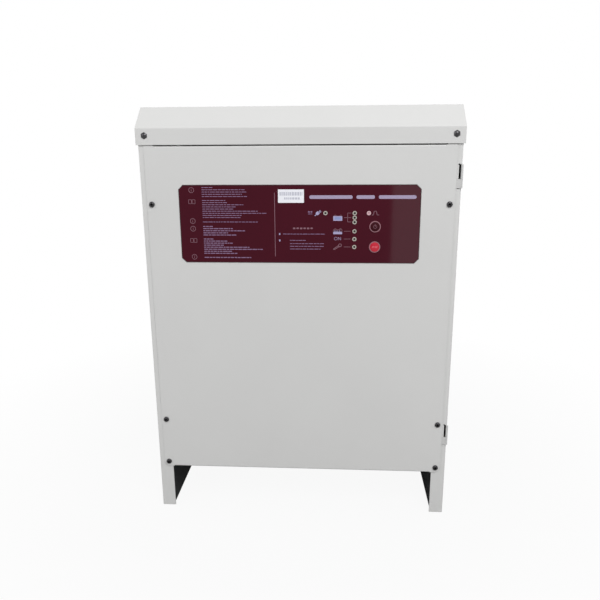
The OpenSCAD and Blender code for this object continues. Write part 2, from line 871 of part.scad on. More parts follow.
module white_sticker() {
    color(white) seat()
        translate([sticker_x, film_face - sticker_t, overlay_z + sticker_up])
            cube([sticker_w, sticker_t, sticker_h]);
}

// Flanged sleeve that sits in the overlay and the panel
module sleeve(x, z, rim_d, barrel_d, bore_d, rim_h, back) {
    difference() {
        union() {
            rod_y(x, z, rim_d, film_face - rim_h, film_face);
            rod_y(x, z, barrel_d, film_face - rim_h / 2, back);
        }
        rod_y(x, z, bore_d, film_face - rim_h - 1, back + 1);
    }
}

module lamp_rings() {
    color(white) seat()
        for (p = all_lamps)
            sleeve(p[0], overlay_z + p[1], lamp_ring_d, lamp_barrel_d, lamp_bore_d, ring_h / 2, lamp_barrel_back);
}

// Lamp from its board to its domed front
module lamp(x, z) {
    r = lamp_d / 2;
    dome_y = film_face + r;
    rod_y(x, z, lamp_d, dome_y, lamp_barrel_back + 0.5);
    translate([x, dome_y, z]) sphere(r, $fn = 32);
    rod_y(x, z, lamp_barrel_d, lamp_barrel_back + 0.1, board_y);
}

module status_lamps() {
    color(dark) seat() {
        for (p = lamps)
            lamp(p[0], overlay_z + p[1]);
        lamp(mains_lamp_x, overlay_z + lamp_row_z);
    }
}

module timer_lamp() {
    color([0.85, 0.68, 0.72]) seat() lamp(timer_lamp_x, overlay_z + lamp_row_z);
}

// Ring that guides a key, with its rim on the overlay
module key_ring(z) {
    sleeve(key_x, overlay_z + z, key_ring_out + 2 * key_ring_rim, key_ring_out, key_ring_in, ring_h, ring_back);
}

module mode_key_ring() {
    color(white) seat() key_ring(mode_key_z);
}

module stop_key_ring() {
    color(red) seat() key_ring(stop_key_z);
}

// Key cap with a crowned front, a rim that holds it behind its ring, and the switch stem
module key_body(z) {
    front = film_face - ring_h - key_proud;
    crown = key_d * 2.2;
    rim = key_flange_y - front;
    translate([key_x, front, z]) rotate([-90, 0, 0]) {
        intersection() {
            cylinder(d = key_d, h = rim + 0.5);
            translate([0, 0, crown]) sphere(crown, $fn = 96);
        }
        translate([0, 0, rim]) cylinder(d = key_ring_out - 0.4, h = key_flange_t);
        translate([0, 0, rim + 1]) cylinder(d = key_stem_d, h = stem_end - key_flange_y - 1);
    }
}

module mode_key() {
    color(dark) seat() key_body(overlay_z + mode_key_z);
}

module stop_key() {
    color(red) seat() key_body(overlay_z + stop_key_z);
}

module key_switches() {
    color(black) seat()
        for (p = keys)
            difference() {
                translate([p[0] - switch_s / 2, switch_face, overlay_z + p[1] - switch_s / 2])
                    cube([switch_s, switch_h, switch_s]);
                rod_y(p[0], overlay_z + p[1], key_stem_d + 0.6, switch_face - 1, switch_face + switch_bore);
            }
}

module display_board() {
    color(green) seat() difference() {
        translate([board_x0, board_y, board_z0]) cube([board_x1 - board_x0, board_t, board_z1 - board_z0]);
        for (p = board_holes)
            rod_y(p[0], p[1], 3.4, board_y - 1, board_y + board_t + 1);
    }
}

module board_standoffs() {
    color(brass) seat()
        for (p = board_holes)
            difference() {
                translate([p[0], front_y, p[1]]) rotate([-90, 0, 0]) cylinder(d = 7, h = board_gap, $fn = 6);
                rod_y(p[0], p[1], 3.3, board_y - 8, board_y + 1);
            }
}

module board_screws() {
    color(zinc) seat()
        for (p = board_holes)
            translate([p[0], board_y + board_t, p[1]]) rotate([90, 0, 0]) screw(3, 5.6, 2, 7);
}

module front_screws() {
    color(dark) seat()
        for (x = [-1, 1])
            for (z = panel_screw_z)
                translate([x * panel_screw_x, panel_face, z])
                    rotate([-90, 0, 0]) screw(screw_d, screw_head_d, screw_head_h, screw_l);
}

module lid_screws() {
    color(dark) seat()
        for (s = [0, 1])
            mirror([0, s, 0])
                for (x = [-1, 1])
                    translate([x * lid_screw_x, lid_front, lid_screw_z])
                        rotate([-90, 0, 0]) flat_bolt(screw_d, lid_head_w, screw_head_h, screw_l + 2);
}

module rear_screws() {
    color(dark) seat()
        for (x = [-1, 1])
            for (z = rear_screw_z)
                translate([x * panel_screw_x, rear_face, z])
                    rotate([90, 0, 0]) screw(screw_d, screw_head_d, screw_head_h, screw_l);
}

// Clinch nut with its shank in a sheet, lying behind the plane y
module clinch_nut(x, z, y, s, shank) {
    translate([x, y, z]) rotate([-90 * s, 0, 0]) difference() {
        union() {
            cylinder(d = nut_d, h = nut_h);
            translate([0, 0, -shank]) cylinder(d = nut_hole_d - 0.3, h = shank + 0.5);
        }
        translate([0, 0, -shank - 1]) cylinder(d = screw_d + 0.3, h = shank + nut_h + 2);
    }
}

module clinch_nuts() {
    color(zinc) seat()
        for (x = [-1, 1]) {
            for (z = panel_screw_z)
                clinch_nut(x * panel_screw_x, z, front_y + sheet_t, 1, sheet_t - 0.2);
            for (z = rear_screw_z)
                clinch_nut(x * panel_screw_x, z, rear_y - sheet_t, -1, sheet_t - 0.2);
            for (s = [-1, 1])
                clinch_nut(x * lid_screw_x, lid_screw_z, s * (rear_y - 2 * sheet_t), -s, 2 * sheet_t - 0.2);
        }
}

module gland_plate() {
    color(paint) seat() difference() {
        along_y(rear_face, plate_face) translate([0, gland_z]) round_rect(gland_plate_w, gland_plate_h, 5);
        for (x = gland_xs)
            rod_y(x, gland_z, gland_thread_d + 0.5, rear_face - 1, plate_face + 1);
        for (x = [-1, 1])
            for (z = [-1, 1])
                rod_y(x * (gland_plate_w / 2 - 9), gland_z + z * (gland_plate_h / 2 - 9), hole_d, rear_face - 1,
                    plate_face + 1);
    }
}

module gland_plate_screws() {
    color(dark) seat()
        for (x = [-1, 1])
            for (z = [-1, 1])
                translate([x * (gland_plate_w / 2 - 9), plate_face, gland_z + z * (gland_plate_h / 2 - 9)])
                    rotate([90, 0, 0]) {
                        screw(screw_d, screw_head_d, screw_head_h, screw_l);
                        translate([0, 0, 2 * sheet_t]) cylinder(d = nut_d, h = nut_h, $fn = 6);
                    }
}

module gland_gasket() {
    color(black) seat()
        for (x = gland_xs)
            difference() {
                rod_y(x, gland_z, gland_hex, rear_face - sheet_t - 1.5, rear_face);
                rod_y(x, gland_z, gland_thread_d + 0.5, rear_face - sheet_t - 3, rear_face + 1);
            }
}

module gland_bodies() {
    inner = rear_y - gland_in;
    color(dark) seat()
        for (x = gland_xs)
            translate([x, 0, gland_z]) difference() {
                union() {
                    translate([0, inner, 0])
                        rotate([-90, 0, 0]) cylinder(d = gland_thread_d, h = plate_face - inner + 1);
                    translate([0, plate_face, 0]) rotate([-90, 0, 0])
                        cylinder(d = gland_hex * 1.12, h = hex_l, $fn = 6);
                    translate([0, plate_face + hex_l - 1, 0]) rotate([-90, 0, 0])
                        cylinder(d = gland_thread_d, h = 13);
                }
                translate([0, inner - 1, 0]) rotate([-90, 0, 0]) cylinder(d = gland_bore_d + 1.5, h = 80);
                translate([0, plate_face + 5, 0]) rotate([-90, 0, 0]) cylinder(d = gland_bore_d + 6, h = 40);
            }
}

module gland_seals() {
    color(black) seat()
        for (x = gland_xs)
            difference() {
                rod_y(x, gland_z, gland_bore_d + 5.6, plate_face + 5, plate_face + 5 + seal_l);
                rod_y(x, gland_z, gland_bore_d, plate_face + 4, plate_face + 6 + seal_l);
            }
}

// Domed cap that presses on the seal, turned about its own axis
module gland_cap() {
    r = gland_hex * 0.53;
    d_in = (gland_thread_d + 0.6) / 2;
    lip = gland_bore_d / 2 + 1;
    round = 4;
    difference() {
        rotate_extrude($fn = 64)
            union() {
                translate([d_in, 0]) square([r - d_in, cap_l - round]);
                translate([lip, cap_l - 7]) square([r - round - lip, 7]);
                translate([d_in, cap_l - 7]) square([r - round - d_in + 0.01, 7]);
                translate([r - round, cap_l - round]) intersection() {
                    circle(round);
                    square(round);
                }
            }
        for (a = [0 : 30 : 330])
            rotate(a) translate([r + 0.9, 0, -1]) cylinder(d = 3.4, h = cap_l - 6);
    }
}

module gland_caps() {
    color(dark) seat()
        for (x = gland_xs)
            translate([x, plate_face + hex_l, gland_z]) rotate([-90, 0, 0]) gland_cap();
}

module gland_locknuts() {
    color(dark) seat()
        for (x = gland_xs)
            translate([x, rear_face - sheet_t - 1.5, gland_z])
                rotate([90, 0, 0]) difference() {
                    cylinder(d = gland_hex * 1.12, h = 6, $fn = 6);
                    translate([0, 0, -1]) cylinder(d = gland_thread_d + 0.5, h = 8);
                }
}

module fan_frame() {
    color(black) seat() {
        difference() {
            along_y(fan_front, rear_y) translate([0, fan_z]) round_rect(fan_s, fan_s, 8);
            rod_y(0, fan_z, fan_bore, fan_front - 1, rear_y + 1);
            for (x = [-1, 1])
                for (z = [-1, 1])
                    rod_y(x * fan_hole, fan_z + z * fan_hole, 4.6, fan_front - 1, rear_y + 1);
        }
        for (a = [90, 210, 330])
            translate([0, fan_front, fan_z]) rotate([0, a, 0])
                translate([fan_hub_d / 2 - 6, 0, -4]) cube([fan_bore / 2 - fan_hub_d / 2 + 7, 5, 8]);
        rod_y(0, fan_z, fan_hub_d - 2, fan_front, fan_front + 6);
        rod_y(0, fan_z, 6, fan_front + 5, rear_y - 6);
    }
}

module fan_rotor() {
    r = fan_bore / 2 - fan_tip;
    y0 = fan_front + 9;
    y1 = rear_y - 5;
    color(dark) seat() difference() {
        union() {
            rod_y(0, fan_z, fan_hub_d, y0, y1);
            for (i = [0 : fan_blades - 1])
                intersection() {
                    difference() {
                        rod_y(0, fan_z, 2 * r, y0, y1);
                        rod_y(0, fan_z, fan_hub_d - 4, y0 - 1, y1 + 1);
                    }
                    translate([0, (y0 + y1) / 2, fan_z])
                        rotate([0, i * 360 / fan_blades, 0])
                            rotate([52, 0, 0])
                                translate([0, -blade_t / 2, -fan_t]) cube([r + 2, blade_t, 2 * fan_t]);
                }
        }
        rod_y(0, fan_z, 6.6, y0 - 1, y1 - 0.5);
        rod_y(0, fan_z, fan_hub_d - 8, y0 - 1, y1 - 4);
    }
}

module fan_guard() {
    y = rear_face + guard_rise;
    spoke = guard_pitch * 0.6 - guard_wire / 4;
    color(zinc) seat() {
        for (r = [guard_pitch * 0.6 : guard_pitch : fan_bore / 2])
            translate([0, y, fan_z]) rotate([90, 0, 0])
                rotate_extrude($fn = 96) translate([r, 0]) circle(d = guard_wire, $fn = 24);
        for (x = [-1, 1])
            for (z = [-1, 1]) {
                difference() {
                    rod_y(x * fan_hole, fan_z + z * fan_hole, 9, rear_face, y);
                    rod_y(x * fan_hole, fan_z + z * fan_hole, 4.6, rear_face - 1, y + 2);
                }
                translate([0, y - guard_wire * 0.6, fan_z])
                    rotate([0, 45 * x * z + (x > 0 ? 0 : 180), 0])
                        translate([spoke, 0, 0]) rotate([0, 90, 0])
                            cylinder(d = guard_wire, h = fan_hole * sqrt(2) - spoke - 3, $fn = 24);
            }
    }
}

module fan_screws() {
    color(zinc) seat()
        for (x = [-1, 1])
            for (z = [-1, 1])
                translate([x * fan_hole, rear_face + guard_rise, fan_z + z * fan_hole])
                    rotate([90, 0, 0]) {
                        screw(4, 8, 2.6, fan_t + guard_rise + sheet_t + 5.5);
                        translate([0, 0, fan_t + guard_rise + sheet_t]) cylinder(d = 8, h = 4, $fn = 6);
                    }
}

module mounting_plate() {
    color(zinc) seat() difference() {
        translate([0, 0, mount_z])
            linear_extrude(mount_h)
                translate([-wall_in, mount_y + mount_fold - base_t])
                    rotate(-90)
                        fold([[mount_fold - base_t - bend_r, 90], [2 * (wall_in - base_t - bend_r), 90],
                            [mount_fold - base_t - bend_r, 0]], base_t, bend_r);
        translate([-sink_w / 2 + sink_lap, mount_y - 10, sink_z - sink_h / 2 + sink_lap])
            cube([sink_w - 2 * sink_lap, 20, sink_h - 2 * sink_lap]);
    }
}

module heat_sink() {
    fin_t = 2.4;
    pitch = (sink_w - fin_t) / (sink_fins - 1);
    color(alloy) seat()
        translate([0, 0, sink_z - sink_h / 2])
            linear_extrude(sink_h)
                union() {
                    translate([-sink_w / 2, mount_y]) square([sink_w, sink_base]);
                    for (i = [0 : sink_fins - 1])
                        translate([-sink_w / 2 + i * pitch, mount_y + sink_base - 0.5])
                            square([fin_t, sink_fin + 0.5]);
                }
}

module rectifier_modules() {
    color(grey) seat()
        for (i = [-1, 0, 1])
            translate([i * module_pitch, 0, sink_z]) {
                translate([-module_w / 2, module_face + 4, -module_l / 2])
                    cube([module_w, module_h - 4, module_l]);
                for (z = [-30, 0, 30])
                    rod_y(0, z, 12, module_face, module_face + 5);
            }
}

// Flat bar that collects the modules, folds down the right side and runs back to its output stud
module busbar(x, z) {
    y = module_face - bar_t;
    back = term_y + bar_w / 2;
    drop = term_z + 60;
    translate([-module_pitch - bar_w / 2, y, z - bar_w / 2]) cube([x + module_pitch + bar_w, bar_t, bar_w]);
    translate([x - bar_w / 2, y, drop]) cube([bar_w, bar_t, z - drop]);
    translate([x - bar_w / 2, y, drop]) cube([bar_w, back - y, bar_t]);
}

module positive_busbar() {
    color(copper) seat() difference() {
        busbar(plus_x, sink_z + 30);
        translate([plus_x - bar_w / 2 - 1, module_face - bar_t - 1, fuse_z - fuse_l / 2 - 1])
            cube([bar_w + 2, bar_t + 2, fuse_l + 2]);
        translate([plus_x, term_y, 0]) cylinder(d = stud_d + 0.6, h = sink_z);
    }
}

module negative_busbar() {
    color(copper) seat() difference() {
        busbar(minus_x, sink_z - 30);
        translate([minus_x, term_y, 0]) cylinder(d = stud_d + 0.6, h = sink_z);
    }
}

module output_fuse() {
    y = module_face - bar_t;
    color(white) seat() {
        translate([plus_x, y - fuse_d / 2, fuse_z - fuse_l / 2]) cylinder(d = fuse_d, h = fuse_l);
        for (s = [-1, 1])
            translate([plus_x - fuse_tab_w / 2, y - fuse_tab_t, fuse_z + s * (fuse_l / 2 - 2 + fuse_tab_l / 2)])
                translate([0, 0, -fuse_tab_l / 2]) cube([fuse_tab_w, fuse_tab_t, fuse_tab_l]);
        for (s = [-1, 1])
            translate([plus_x - fuse_tab_w / 2, y - fuse_d / 2 - 2,
                fuse_z + s * (fuse_l / 2 - 1) - fuse_tab_t / 2])
                cube([fuse_tab_w, fuse_d / 2 + 2, fuse_tab_t]);
    }
}

module output_terminals() {
    color(black) seat()
        for (x = [minus_x, plus_x])
            translate([x, term_y, term_z]) {
                rotate_extrude($fn = 48)
                    union() {
                        square([16, 8]);
                        translate([0, 7]) square([13, 46]);
                        translate([0, 52]) square([16, 8]);
                    }
                cylinder(d = stud_d, h = 80);
                translate([0, 0, 60 + bar_t]) cylinder(d = 17, h = 8, $fn = 6);
            }
}

// Outline of the three-limb core in X-Z with its lower edge on the base plate
module core_2d() {
    translate([core_x, floor_z]) difference() {
        translate([-core_w / 2, 0]) square([core_w, core_h]);
        for (s = [-1, 1])
            translate([s * limb_pitch / 2 - window_w / 2, limb_w]) square([window_w, window_h]);
    }
}

module transformer_core() {
    color(core_steel) seat() difference() {
        along_y(core_y - core_d / 2, core_y + core_d / 2) core_2d();
        for (x = [-1, 1])
            for (z = [limb_w / 2, core_h - limb_w / 2])
                rod_y(core_x + x * bolt_x, floor_z + z, bolt_d + 1, core_y - core_d, core_y + core_d);
    }
}

module transformer_coils() {
    w = limb_w + 2 * coil_clear;
    d = core_d + 2 * coil_clear;
    color(tape) seat()
        for (i = [-1, 0, 1])
            translate([core_x + i * limb_pitch, core_y, floor_z + limb_w])
                linear_extrude(window_h - 2 * coil_clear)
                    difference() {
                        round_rect(w + 2 * coil_t, d + 2 * coil_t, 14);
                        square([w, d], center = true);
                    }
}

// Angle that clamps a yoke from the front, with its foot at the origin
module clamp() {
    along_x(-clamp_l / 2, clamp_l / 2)
        translate([-clamp_leg, 0])
            fold([[clamp_leg - clamp_t - bend_r, 90], [clamp_leg - clamp_t - bend_r, 0]], clamp_t, bend_r);
}

module core_clamps() {
    color(black) seat()
        for (s = [0, 1])
            translate([core_x, core_y, 0])
                mirror([0, s, 0])
                    difference() {
                        union() {
                            translate([0, -core_d / 2, floor_z]) clamp();
                            translate([0, -core_d / 2, floor_z + core_h]) mirror([0, 0, 1]) clamp();
                        }
                        for (x = [-1, 1])
                            for (z = [limb_w / 2, core_h - limb_w / 2])
                                rod_y(x * bolt_x, floor_z + z, bolt_d + 1, -core_d, 0);
                    }
}

module core_bolts() {
    grip = core_d / 2 + clamp_t;
    color(zinc) seat()
        for (x = [-1, 1])
            for (z = [limb_w / 2, core_h - limb_w / 2])
                translate([core_x + x * bolt_x, core_y - grip, floor_z + z])
                    rotate([-90, 0, 0]) {
                        hex_bolt(bolt_d, 2 * grip + 10);
                        translate([0, 0, 2 * grip]) cylinder(d = 1.9 * bolt_d, h = 6.5, $fn = 6);
                    }
}

module contactor() {
    color(grey) seat()
        translate([supply_x, mount_front, mount_z + contactor_up]) {
            translate([-contactor_w / 2, -contactor_d, -contactor_h / 2])
                cube([contactor_w, contactor_d, contactor_h]);
            translate([-contactor_w / 2 + 6, -contactor_d - contactor_rise, -contactor_h / 2 + 12])
                cube([contactor_w - 12, contactor_rise + 1, contactor_h - 24]);
            for (z = [-1, 1])
                for (i = [-1, 0, 1])
                    translate([i * contactor_w * 0.28, -contactor_d, z * (contactor_h / 2 - 6)])
                        rotate([90, 0, 0]) cylinder(d = 9, h = 4);
        }
}

module mains_terminals() {
    color([0.8, 0.79, 0.72]) seat()
        translate([supply_x, mount_front, mount_z + terminal_up])
            for (i = [-2 : 2])
                translate([i * terminal_pitch, 0, 0]) difference() {
                    translate([0.3 - terminal_pitch / 2, -terminal_d, -terminal_h / 2])
                        cube([terminal_pitch - 0.6, terminal_d, terminal_h]);
                    for (z = [-1, 1])
                        rod_y(0, z * (terminal_h / 2 - 10), 8, -terminal_d - 1, 12 - terminal_d);
                }
}

module control_board() {
    color(green) seat() difference() {
        translate([control_x - control_w / 2, control_y, control_z - control_h / 2])
            cube([control_w, board_t, control_h]);
        for (p = control_holes)
            rod_y(p[0], p[1], 3.4, control_y - 1, control_y + board_t + 1);
    }
}

module control_standoffs() {
    color(brass) seat()
        for (p = control_holes) {
            translate([p[0], control_y + board_t, p[1]])
                rotate([-90, 0, 0]) cylinder(d = 7, h = control_gap, $fn = 6);
            rod_y(p[0], p[1], 3, control_y - 1, control_y + board_t + 1);
            rod_y(p[0], p[1], 5.6, control_y - 2, control_y);
        }
}

module control_parts() {
    half = control_w / 2 - part_edge;
    low = plug_edge - control_h / 2;
    color(dark) seat()
        translate([control_x, control_y, control_z]) {
            for (i = [0 : 3])
                translate([cap_d / 2 - half + i * cap_pitch, 0, part_row])
                    rotate([90, 0, 0]) cylinder(d = cap_d, h = cap_h);
            for (i = [0 : 2])
                translate([half - relay_l - i * relay_pitch, -relay_h, part_row - relay_w / 2])
                    cube([relay_l, relay_h, relay_w]);
            translate([-half, -aux_h, part_row - cap_d - aux_w]) cube([aux_l, aux_h, aux_w]);
            translate([half - plug_l / 2 - chip_l, -chip_h, low + plug_w + part_edge])
                cube([chip_l, chip_h, chip_w]);
            translate([half - plug_l, -plug_h, low]) cube([plug_l, plug_h, plug_w]);
        }
}

left_side_panel();
right_side_panel();
base_plate();
left_foot_runner();
right_foot_runner();
base_bolts();
top_rails();
front_panel();
hinge_frame_leaves();
hinge_panel_leaves();
hinge_pins();
rear_panel();
lid();
overlay_film();
white_sticker();
lamp_rings();
status_lamps();
timer_lamp();
mode_key_ring();
stop_key_ring();
mode_key();
stop_key();
key_switches();
display_board();
board_standoffs();
board_screws();
front_screws();
lid_screws();
rear_screws();
clinch_nuts();
gland_plate();
gland_gasket();
gland_plate_screws();
gland_bodies();
gland_seals();
gland_caps();
gland_locknuts();
fan_frame();
fan_rotor();
fan_guard();
fan_screws();
mounting_plate();
heat_sink();
rectifier_modules();
positive_busbar();
negative_busbar();
output_terminals();
transformer_core();
transformer_coils();
core_clamps();
core_bolts();
contactor();
mains_terminals();
control_board();
control_standoffs();
control_parts();
output_fuse();
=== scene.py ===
import math
import random

import bmesh
import bpy
from mathutils import Matrix, Vector


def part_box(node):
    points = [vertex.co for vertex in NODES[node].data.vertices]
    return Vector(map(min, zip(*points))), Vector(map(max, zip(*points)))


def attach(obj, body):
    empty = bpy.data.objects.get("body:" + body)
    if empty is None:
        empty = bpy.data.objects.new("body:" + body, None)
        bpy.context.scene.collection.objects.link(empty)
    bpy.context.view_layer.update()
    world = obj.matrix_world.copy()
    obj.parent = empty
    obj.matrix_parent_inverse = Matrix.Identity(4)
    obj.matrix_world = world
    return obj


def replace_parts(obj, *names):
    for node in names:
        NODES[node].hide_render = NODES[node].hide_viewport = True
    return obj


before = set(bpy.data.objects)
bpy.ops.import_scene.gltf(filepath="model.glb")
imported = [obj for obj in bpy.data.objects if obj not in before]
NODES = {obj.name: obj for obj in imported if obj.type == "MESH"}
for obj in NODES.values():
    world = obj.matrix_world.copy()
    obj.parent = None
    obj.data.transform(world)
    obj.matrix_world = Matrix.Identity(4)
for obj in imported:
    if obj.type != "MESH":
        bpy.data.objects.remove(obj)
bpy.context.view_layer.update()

bl_info = {
    "name": "Battery charger cabinet",
    "version": (1, 0, 0),
    "blender": (4, 5, 0),
    "location": "View3D > Sidebar > Charger",
    "description": "Finishes, screw heads and overlay print for a floor-standing battery charger",
    "category": "Object",
}

MM = 0.001
FILM_LOW, FILM_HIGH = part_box("overlay_film")
STICKER_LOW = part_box("white_sticker")[0]
FLANGE_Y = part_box("left_side_panel")[0].y
FACE_FRONT = Matrix.Rotation(math.radians(90), 4, "X")

# Edges sharper than this stay crisp on a smooth piece.
CREASE = math.radians(38)
# Half of the angle that one side of a hexagon spans.
HEX_HALF = math.radians(30)

# Heights of the panel screws above the floor, in metres.
FRONT_ROWS = (0.102, 0.196, 0.627)
REAR_ROWS = (0.102, 0.27, 0.46, 0.64)
SCREW_SHANK = 10 * MM
BOLT_SHANK = 12 * MM
SHANK_RADIUS = 2.5 * MM
# Most that a screw's cross is turned, in radians.
CROSS_TURN = 3
# Loops of a pan head from its rim to its crown: share of the radius and of the height.
PAN_HEAD = ((1.0, 0.42), (0.93, 0.68), (0.76, 0.88), (0.56, 1.0))
# Loops of a bolt's dome from its rim inwards: share of the hexagon's flat radius.
DOME = (0.97, 0.88, 0.76, 0.62, 0.46, 0.3, 0.12)

# Small print, in millimetres: shortest and longest bar, gap between bars, least length left.
WORD_RUN = (3.0, 9.0)
WORD_GAP = 1.1
WORD_LEAST = 2

# Studio lamps: name, place, target, width in metres and watts.
LAMPS = (
    ("key_light", (1.0, -2.3, 2.75), (0, -0.2, 0.5), 1.7, 65),
    ("fill_light", (-2.2, -1.9, 1.7), (0, -0.2, 0.45), 2.0, 18),
    ("top_light", (0, 0.2, 3.2), (0, 0, 0), 2.6, 3),
    ("rear_light", (0.7, 2.9, 1.05), (0, 0.2, 0.45), 0.6, 26),
    ("left_light", (-2.8, 0.4, 0.6), (-0.2, 0, 0.45), 1.2, 15),
    ("right_light", (2.4, 1.8, 0.6), (0.2, 0, 0.45), 1.2, 22),
)


def linear(hex_colour):
    """Turns an sRGB hex value into linear red, green and blue."""
    values = [int(hex_colour[i:i + 2], 16) / 255 for i in (1, 3, 5)]
    return tuple(v / 12.92 if v <= 0.04045 else ((v + 0.055) / 1.055) ** 2.4 for v in values)


def colour(name, hex_colour, words):
    """A colour property with its default written as sRGB hex."""
    return bpy.props.FloatVectorProperty(
        name=name, description=words, subtype="COLOR", size=3, min=0.0, max=1.0,
        default=linear(hex_colour))


def length(name, value_mm, words):
    """A length property with its default written in millimetres."""
    return bpy.props.FloatProperty(
        name=name, description=words, unit="LENGTH", default=value_mm * MM, min=0.0)


class ChargerColours(bpy.types.PropertyGroup):
    """Colours of the finishes."""
    paint: colour("Powder coat", "#D8D8D7", "Off-white of the cabinet sheets")
    paint_shade: colour("Powder coat shade", "#D3D3D2", "Slightly deeper tone in the coat")
    enamel: colour("Runner enamel", "#27292A", "Black of the foot runners")
    film: colour("Overlay film", "#4B1020", "Maroon of the control overlay")
    film_shade: colour("Overlay shade", "#420F1D", "Deeper maroon in the print")
    border: colour("Overlay border", "#2C0A13", "Dark line round the overlay")
    ink: colour("Sign ink", "#ADA6CC", "Lavender of the solid signs")
    window_ink: colour("Window ink", "#8B96C6", "Blue inside the battery sign")
    heading_ink: colour("Heading ink", "#A99BB8", "Lavender bars of the heading")
    rule_ink: colour("Rule ink", "#86606D", "Thin lines and line signs")
    fine_ink: colour("Fine ink", "#84688A", "Small print")
    key_red: colour("Stop key", "#C91031", "Red of the stop key")
    key_dark: colour("Mode key", "#3D1019", "Dark maroon of the mode key")


class ChargerSizes(bpy.types.PropertyGroup):
    """Sizes of what this file adds."""
    ink: length("Ink thickness", 0.06, "Height of the print above the film")
    fine_line: length("Fine print height", 1.25, "Height of one bar of small print")
    rule: length("Rule width", 0.75, "Width of the thin lines on the overlay")
    border: length("Border width", 1.4, "Width of the dark line round the overlay")
    cut: length("Corner cut", 8.3, "Cut at each corner of the overlay")
    head: length("Screw head diameter", 10.7, "Diameter of the cabinet screw heads")
    lid_head: length("Lid bolt head width", 12.4,
                     "Width of the lid bolts' hexagon heads across the corners")
    head_rise: length("Screw head height", 3.2, "Height of the cabinet screw heads")
    recess: length("Recess depth", 1.7, "Depth of the cross recess")
    crown: length("Key crown", 37.4, "Radius of a key's domed front")


def colours():
    return bpy.context.scene.charger_colours


def sizes():
    return bpy.context.scene.charger_sizes


def add_node(tree, kind, sockets=None, **settings):
    """Adds a node with its settings; a socket takes a value or another node's output."""
    node = tree.nodes.new(kind)
    for key, value in settings.items():
        setattr(node, key, value)
    for key, value in (sockets or {}).items():
        if isinstance(value, bpy.types.NodeSocket):
            tree.links.new(value, node.inputs[key])
        else:
            node.inputs[key].default_value = value
    return node


def rgb(tone):
    """Linear red, green and blue of a colour property, a tuple or an sRGB hex value."""
    return linear(tone) if isinstance(tone, str) else tuple(tone[:3])


def rgba(tone):
    return (*rgb(tone), 1.0)


def blank(name):
    """A material with an empty tree and its output node."""
    mat = bpy.data.materials.new(name)
    mat.use_nodes = True
    tree = mat.node_tree
    tree.nodes.clear()
    return mat, tree, add_node(tree, "ShaderNodeOutputMaterial")


def finish(name, tone, shade, grain_mm, roughness, metallic=0.0, bump=0.1, depth_mm=0.05,
           stretch=(1, 1, 1), edge_mm=0.0, rough_span=0.08, cloud_mm=140.0, split=None, **shader):
    """A surface of two close tones in slow clouds, with a grain in its roughness and relief.

    split gives an axis, a place along it and a second tone for what lies past that place.
    """
    mat, tree, out = blank(name)
    place = add_node(tree, "ShaderNodeTexCoord")
    turn = add_node(tree, "ShaderNodeMapping",
                    {"Vector": place.outputs["Object"], "Scale": stretch})
    grain = add_node(tree, "ShaderNodeTexNoise", {
        "Vector": turn.outputs[0], "Scale": 1 / (grain_mm * MM), "Detail": 3.0, "Roughness": 0.6})
    cloud = add_node(tree, "ShaderNodeTexNoise", {
        "Vector": turn.outputs[0], "Scale": 1 / (cloud_mm * MM), "Detail": 2.0})
    blend = add_node(tree, "ShaderNodeMix", {
        "Factor": cloud.outputs[0], "A": rgba(shade), "B": rgba(tone)}, data_type="RGBA")
    if split:
        axis, plane, second = split
        soft = 0.3 * MM
        axes = add_node(tree, "ShaderNodeSeparateXYZ", {"Vector": place.outputs["Object"]})
        past = add_node(tree, "ShaderNodeMapRange", {
            "Value": axes.outputs[axis], "From Min": plane - soft, "From Max": plane + soft})
        blend = add_node(tree, "ShaderNodeMix", {
            "Factor": past.outputs[0], "A": blend.outputs["Result"], "B": rgba(second)},
            data_type="RGBA")
    rough = add_node(tree, "ShaderNodeMapRange", {
        "Value": grain.outputs[0], "To Min": roughness - rough_span,
        "To Max": roughness + rough_span})
    relief = add_node(tree, "ShaderNodeBump", {
        "Height": grain.outputs[0], "Strength": bump, "Distance": depth_mm * MM})
    if edge_mm:
        edge = add_node(tree, "ShaderNodeBevel", {"Radius": edge_mm * MM}, samples=6)
        tree.links.new(edge.outputs[0], relief.inputs["Normal"])
    surface = add_node(tree, "ShaderNodeBsdfPrincipled", {
        "Base Color": blend.outputs["Result"], "Roughness": rough.outputs[0],
        "Normal": relief.outputs[0], "Metallic": metallic, **shader})
    tree.links.new(surface.outputs[0], out.inputs[0])
    return mat


def ink_finish(name, tone):
    """Screen ink: matt and even, with a faint mottle."""
    shade = tuple(0.9 * c for c in rgb(tone))
    return finish(name, tone, shade, 1.5, 0.5, bump=0.02, cloud_mm=12.0)


def paint_nodes(mat, *names):
    """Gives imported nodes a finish."""
    for name in names:
        for slot in NODES[name].material_slots:
            slot.material = mat


def add_piece(name, bm, mat, body="cabinet", smooth=False):
    """Makes a mesh piece that rides on a body."""
    mesh = bpy.data.meshes.new(name)
    bmesh.ops.recalc_face_normals(bm, faces=bm.faces)
    bm.to_mesh(mesh)
    bm.free()
    mesh.materials.append(mat)
    for face in mesh.polygons:
        face.use_smooth = smooth
    if smooth:
        mesh.set_sharp_from_angle(angle=CREASE)
    piece = bpy.data.objects.new(name, mesh)
    bpy.context.scene.collection.objects.link(piece)
    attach(piece, body)
    return piece


def loop_edges(made):
    """Edges of a loop that create_circle made, each once and in order."""
    return list(dict.fromkeys(e for v in made["verts"] for e in v.link_edges))


def new_edges(made):
    """Edges among what an extrusion made."""
    return [g for g in made["geom"] if isinstance(g, bmesh.types.BMEdge)]


def new_verts(made):
    """Vertices among what an extrusion made."""
    return [g for g in made["geom"] if isinstance(g, bmesh.types.BMVert)]


def runs_deep(edge):
    """True for an edge that goes straight from the front to the back."""
    a, b = (v.co for v in edge.verts)
    return abs(a.x - b.x) + abs(a.z - b.z) < 1e-9


